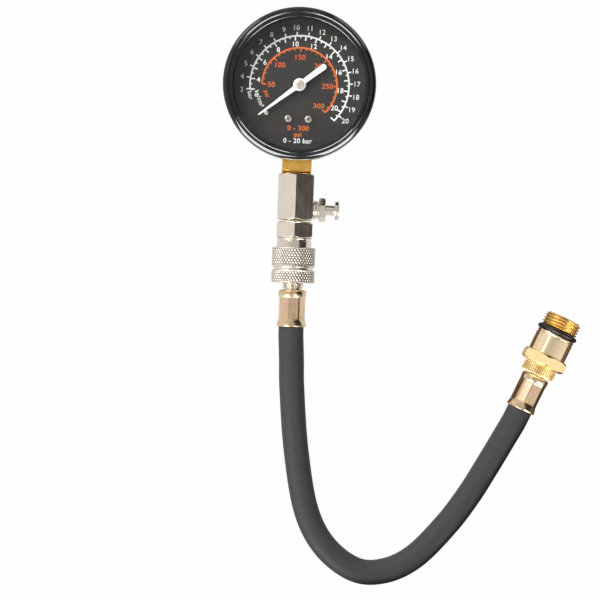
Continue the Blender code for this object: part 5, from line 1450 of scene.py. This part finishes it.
# Pieces taken over from the solids: each gets its slot's finish
slotFinish = {
    "black_case": caseBlack, "black_enamel": bezelBlack, "window_glass": clearGlass, "black_rubber": ringRubber,
    "dial_black": dialBlack, "pointer_white": pointerWhite, "steel": steelPlain, "nickel": nickelTurned,
    "brass": brassBarrel, "phosphor_bronze": bronzeSpring, "neck_brass": brassNeck, "ferrule_gold": ferruleGold,
    "hose_rubber": hoseRubber,
}
for nodeName, solid in frame["nodes"].items():
    if solid.hide_render:
        continue
    for materialSlot in solid.material_slots:
        old = materialSlot.material.name if materialSlot.material else ""
        slotName = next((s for s in slotFinish if old.startswith(s)), "steel")
        materialSlot.material = slotFinish[slotName]
    print("kept", nodeName)

# Studio: white bench, a white room with one dark side, and soft lamps
studioValues = {
    "benchShown": 0.985, "benchColour": (0.5, 0.5, 0.5), "ambient": 0.4,
    "low": 0.92, "high": 0.62, "flag": 0.06, "roof": 0.5, "benchGloss": 0.8, "benchSize": 4.0, "benchDrop": 0.0001,
    "boxDistance": 2.6,
}
size = studioValues["benchSize"]
bench = newMesh("bench", ([(-size, -size, 0), (size, -size, 0), (size, size, 0), (-size, size, 0)], [(0, 1, 2, 3)]))
benchPiece = addObject("bench", bench)
benchPiece.location.z = -studioValues["benchDrop"]
material, tree, shader = newMaterial("white bench")
shader.inputs["Roughness"].default_value = 0.9
shader.inputs["Specular IOR Level"].default_value = 0.1
grain = placeGroup(tree, grainGroup, addNode(tree, "ShaderNodeTexCoord").outputs["Object"])
tree.links.new(
    mixColours(tree, grain.outputs["Mask"], studioValues["benchColour"], (0.48, 0.48, 0.48)),
    shader.inputs["Base Color"],
)
glow = addNode(tree, "ShaderNodeEmission")
path = addNode(tree, "ShaderNodeLightPath")
plain = mathNode(tree, "ADD", path.outputs["Is Camera Ray"], path.outputs["Is Transmission Ray"], clamp=True)
polish = mathNode(tree, "MULTIPLY", path.outputs["Is Glossy Ray"], studioValues["benchGloss"])
blend = addNode(tree, "ShaderNodeMixShader")
tree.links.new(
    mathNode(tree, "MAXIMUM", mathNode(tree, "MULTIPLY", plain, studioValues["benchShown"]), polish),
    blend.inputs[0],
)
tree.links.new(shader.outputs[0], blend.inputs[1])
tree.links.new(glow.outputs[0], blend.inputs[2])
tree.links.new(blend.outputs[0], tree.nodes["Material Output"].inputs["Surface"])
bench.materials.append(material)
benchPiece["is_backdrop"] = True
cardBlack = dullFinish("card black", {
    "colour": (0.02, 0.017, 0.016), "cloudColour": (0.024, 0.02, 0.019), "grain": 900, "cloud": 100,
    "smearScale": 40, "smearShare": 0.3, "smearColour": (0.028, 0.024, 0.022),
    "smooth": 0.8, "rough": 0.9, "shine": 0.1, "bump": 0.1,
})
cardBrown = dullFinish("card brown", {
    "colour": (0.15, 0.10, 0.075), "cloudColour": (0.16, 0.11, 0.08), "grain": 900, "cloud": 100,
    "smearScale": 40, "smearShare": 0.3, "smearColour": (0.17, 0.12, 0.09),
    "smooth": 0.8, "rough": 0.9, "shine": 0.1, "bump": 0.1,
})

world = bpy.data.worlds.new("studio")
bpy.context.scene.world = world
world.use_nodes = True
tree = world.node_tree
background = tree.nodes["Background"]
direction = addNode(tree, "ShaderNodeSeparateXYZ")
tree.links.new(addNode(tree, "ShaderNodeTexCoord").outputs["Generated"], direction.inputs[0])
elevation = mathNode(tree, "ARCSINE", direction.outputs["Z"])
azimuth = mathNode(tree, "ARCTAN2", direction.outputs["Y"], direction.outputs["X"])


def windowOf(value, low, high, soft):  # 1 between two angles in degrees, with soft edges
    low, high, soft = math.radians(low), math.radians(high), math.radians(soft)
    up = rangeNode(tree, value, low - soft, low + soft, 0, 1)
    down = rangeNode(tree, value, high - soft, high + soft, 1, 0)
    return mathNode(tree, "MULTIPLY", up, down)


def patch(azimuthLow, azimuthHigh, elevationLow, elevationHigh, soft):
    return mathNode(
        tree, "MULTIPLY",
        windowOf(azimuth, azimuthLow, azimuthHigh, soft), windowOf(elevation, elevationLow, elevationHigh, soft),
    )


room = rangeNode(tree, elevation, 0.1, 1.45, studioValues["low"], studioValues["high"])
darkSide = patch(-16, 75, -8, 56, 6)
roof = patch(62, 120, 79.2, 85.8, 0.8)
level = room
for shade, share in ((darkSide, studioValues["flag"]), (roof, studioValues["roof"])):
    level = mathNode(tree, "MULTIPLY", level, rangeNode(tree, shade, 0, 1, 1, share, False))
path = addNode(tree, "ShaderNodeLightPath")
polish = mathNode(tree, "ADD", path.outputs["Is Glossy Ray"], path.outputs["Is Transmission Ray"], clamp=True)
strength = addNode(tree, "ShaderNodeMix", data_type="FLOAT")
tree.links.new(polish, strength.inputs[0])
strength.inputs[2].default_value = studioValues["ambient"]
tree.links.new(level, strength.inputs[3])
shown = addNode(tree, "ShaderNodeMix", data_type="FLOAT")
tree.links.new(path.outputs["Is Camera Ray"], shown.inputs[0])
tree.links.new(strength.outputs[0], shown.inputs[2])
shown.inputs[3].default_value = 1.0
background.inputs["Color"].default_value = (1, 1, 1, 1)
tree.links.new(shown.outputs[0], background.inputs["Strength"])
world.cycles.sampling_method = "NONE"


def softLamp(name, place, target, width, depth, radiance):
    lamp = bpy.data.lights.new(name, "AREA")
    lamp.shape = "RECTANGLE"
    lamp.size, lamp.size_y = width, depth
    lamp.energy = radiance * math.pi * width * depth
    holder = addObject(name, lamp)
    holder.location = place
    way = Vector(target) - Vector(place)
    holder.rotation_euler = way.to_track_quat("-Z", "Y").to_euler()
    return holder


centre = (0.05, -0.1, 0)
key = softLamp("key", (-0.75, 0.6, 1.0), centre, 0.9, 0.7, 8.4)
key.visible_glossy = False

# Far soft boxes, seen only in polish. The bezel ("rim") and the turned work have boxes of their own, and the
# window has none; one box makes the streak on all of it.
boxValues = [
    {"name": "box_front_left", "azimuth": -129.5, "elevation": 29, "wide": 43, "tall": 45, "radiance": 13.0},
    {"name": "box_front_right", "azimuth": -52.5, "elevation": 29, "wide": 29, "tall": 45, "radiance": 13.0},
    {"name": "box_back_left", "azimuth": 126, "elevation": 31, "wide": 32, "tall": 26, "radiance": 5.0},
    {"name": "box_streak", "azimuth": 156, "elevation": 55, "wide": 13, "tall": 12, "radiance": 1.45, "on": "all"},
    {"name": "rim_front_left", "azimuth": -126, "elevation": 36, "wide": 46, "tall": 62, "radiance": 20.0, "on": "rim"},
    {"name": "rim_front_right", "azimuth": -53, "elevation": 36, "wide": 36, "tall": 62, "radiance": 20.0, "on": "rim"},
    {"name": "rim_back_left", "azimuth": 132, "elevation": 28, "wide": 24, "tall": 34, "radiance": 4.5, "on": "rim"},
    {"name": "rim_back_right", "azimuth": 52, "elevation": 22, "wide": 30, "tall": 26, "radiance": 4.5, "on": "rim"},
    {"name": "soft_left", "azimuth": -129.5, "elevation": 31, "wide": 46, "tall": 52, "radiance": 5.5, "on": "turned"},
    {"name": "soft_right", "azimuth": -52.5, "elevation": 31, "wide": 32, "tall": 52, "radiance": 4.0, "on": "turned"},
]


def lightTargets(name, pieceNames, state):
    group = bpy.data.collections.new(name)
    for place, pieceName in enumerate(pieceNames):
        group.objects.link(bpy.data.objects[pieceName])
        group.collection_objects[place].light_linking.link_state = state
    return group


turnedNames = [
    "knurled_sleeve", "release_valve_body", "release_button_head", "coupler_plug", "crimped_ferrule_upper",
    "crimped_ferrule_lower",
]
lightTargetsByName = {
    "all": None,
    "rim": lightTargets("rim light", ["bezel_ring"], "INCLUDE"),
    "turned": lightTargets("turned work light", turnedNames, "INCLUDE"),
    "rest": lightTargets("box light", ["bezel_ring", "window_pane"] + turnedNames, "EXCLUDE"),
}
for box in boxValues:
    far, along, up = studioValues["boxDistance"], math.radians(box["azimuth"]), math.radians(box["elevation"])
    place = (far * math.cos(up) * math.cos(along), far * math.cos(up) * math.sin(along), far * math.sin(up))
    width = 2 * far * math.cos(up) * math.tan(math.radians(box["wide"] / 2))
    depth = 2 * far * math.tan(math.radians(box["tall"] / 2))
    lamp = softLamp(box["name"], place, (0, 0, 0), width, depth, box["radiance"])
    lamp.light_linking.receiver_collection = lightTargetsByName[box.get("on", "rest")]
    for ray in ("camera", "diffuse", "transmission", "volume_scatter"):
        setattr(lamp, "visible_" + ray, False)

# Dark cards beside the work, never seen themselves: two give the adapter its edges, one shades the hose's far side
def card(name, rows, material, place, hidden):
    faces = [(i * 2, i * 2 + 1, i * 2 + 3, i * 2 + 2) for i in range(len(rows) - 1)]
    mesh = newMesh(name, ([point for row in rows for point in row], faces))
    mesh.materials.append(material)
    sheet = addObject(name, mesh)
    sheet.matrix_world = place
    for ray in hidden:
        setattr(sheet, "visible_" + ray, False)
    sheet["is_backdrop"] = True


cardValues = {
    "near": {-1: 0.0135, 1: 0.0095}, "far": 0.042, "start": -0.004, "end": 0.052,
    "foot": 0.0006, "rise": {-1: 0.001, 1: 0.0155},
    "wallOff": 0.013, "wallTop": 0.024, "wallFrom": 0.52, "wallTo": 0.985,
}
for side, name in ((-1, "card_left"), (1, "card_right")):
    level = [places["endStart"][2] - height for height in (cardValues["foot"], cardValues["rise"][side])]
    rows = [
        ((side * cardValues["near"][side], level[0], along), (side * cardValues["far"], level[1], along))
        for along in (cardValues["start"], cardValues["end"])
    ]
    card(name, rows, cardBrown, endFrame, ("camera", "diffuse", "transmission", "volume_scatter", "shadow"))
route = hoseLine[int(len(hoseLine) * cardValues["wallFrom"]):int(len(hoseLine) * cardValues["wallTo"])]
rows = []
for before, here, after in zip(route, route[1:], route[2:]):
    way = (Vector(after) - Vector(before)).normalized()
    foot = Vector(here) + Vector((way.y, -way.x, 0)) * cardValues["wallOff"]
    rows.append(((foot.x, foot.y, cardValues["foot"]), (foot.x, foot.y, cardValues["wallTop"])))
card("card_hose", rows, cardBlack, Matrix.Identity(4), ("camera", "transmission", "volume_scatter", "shadow"))

bpy.context.scene.view_settings.view_transform = "Standard"
low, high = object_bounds()
print("scene ready")
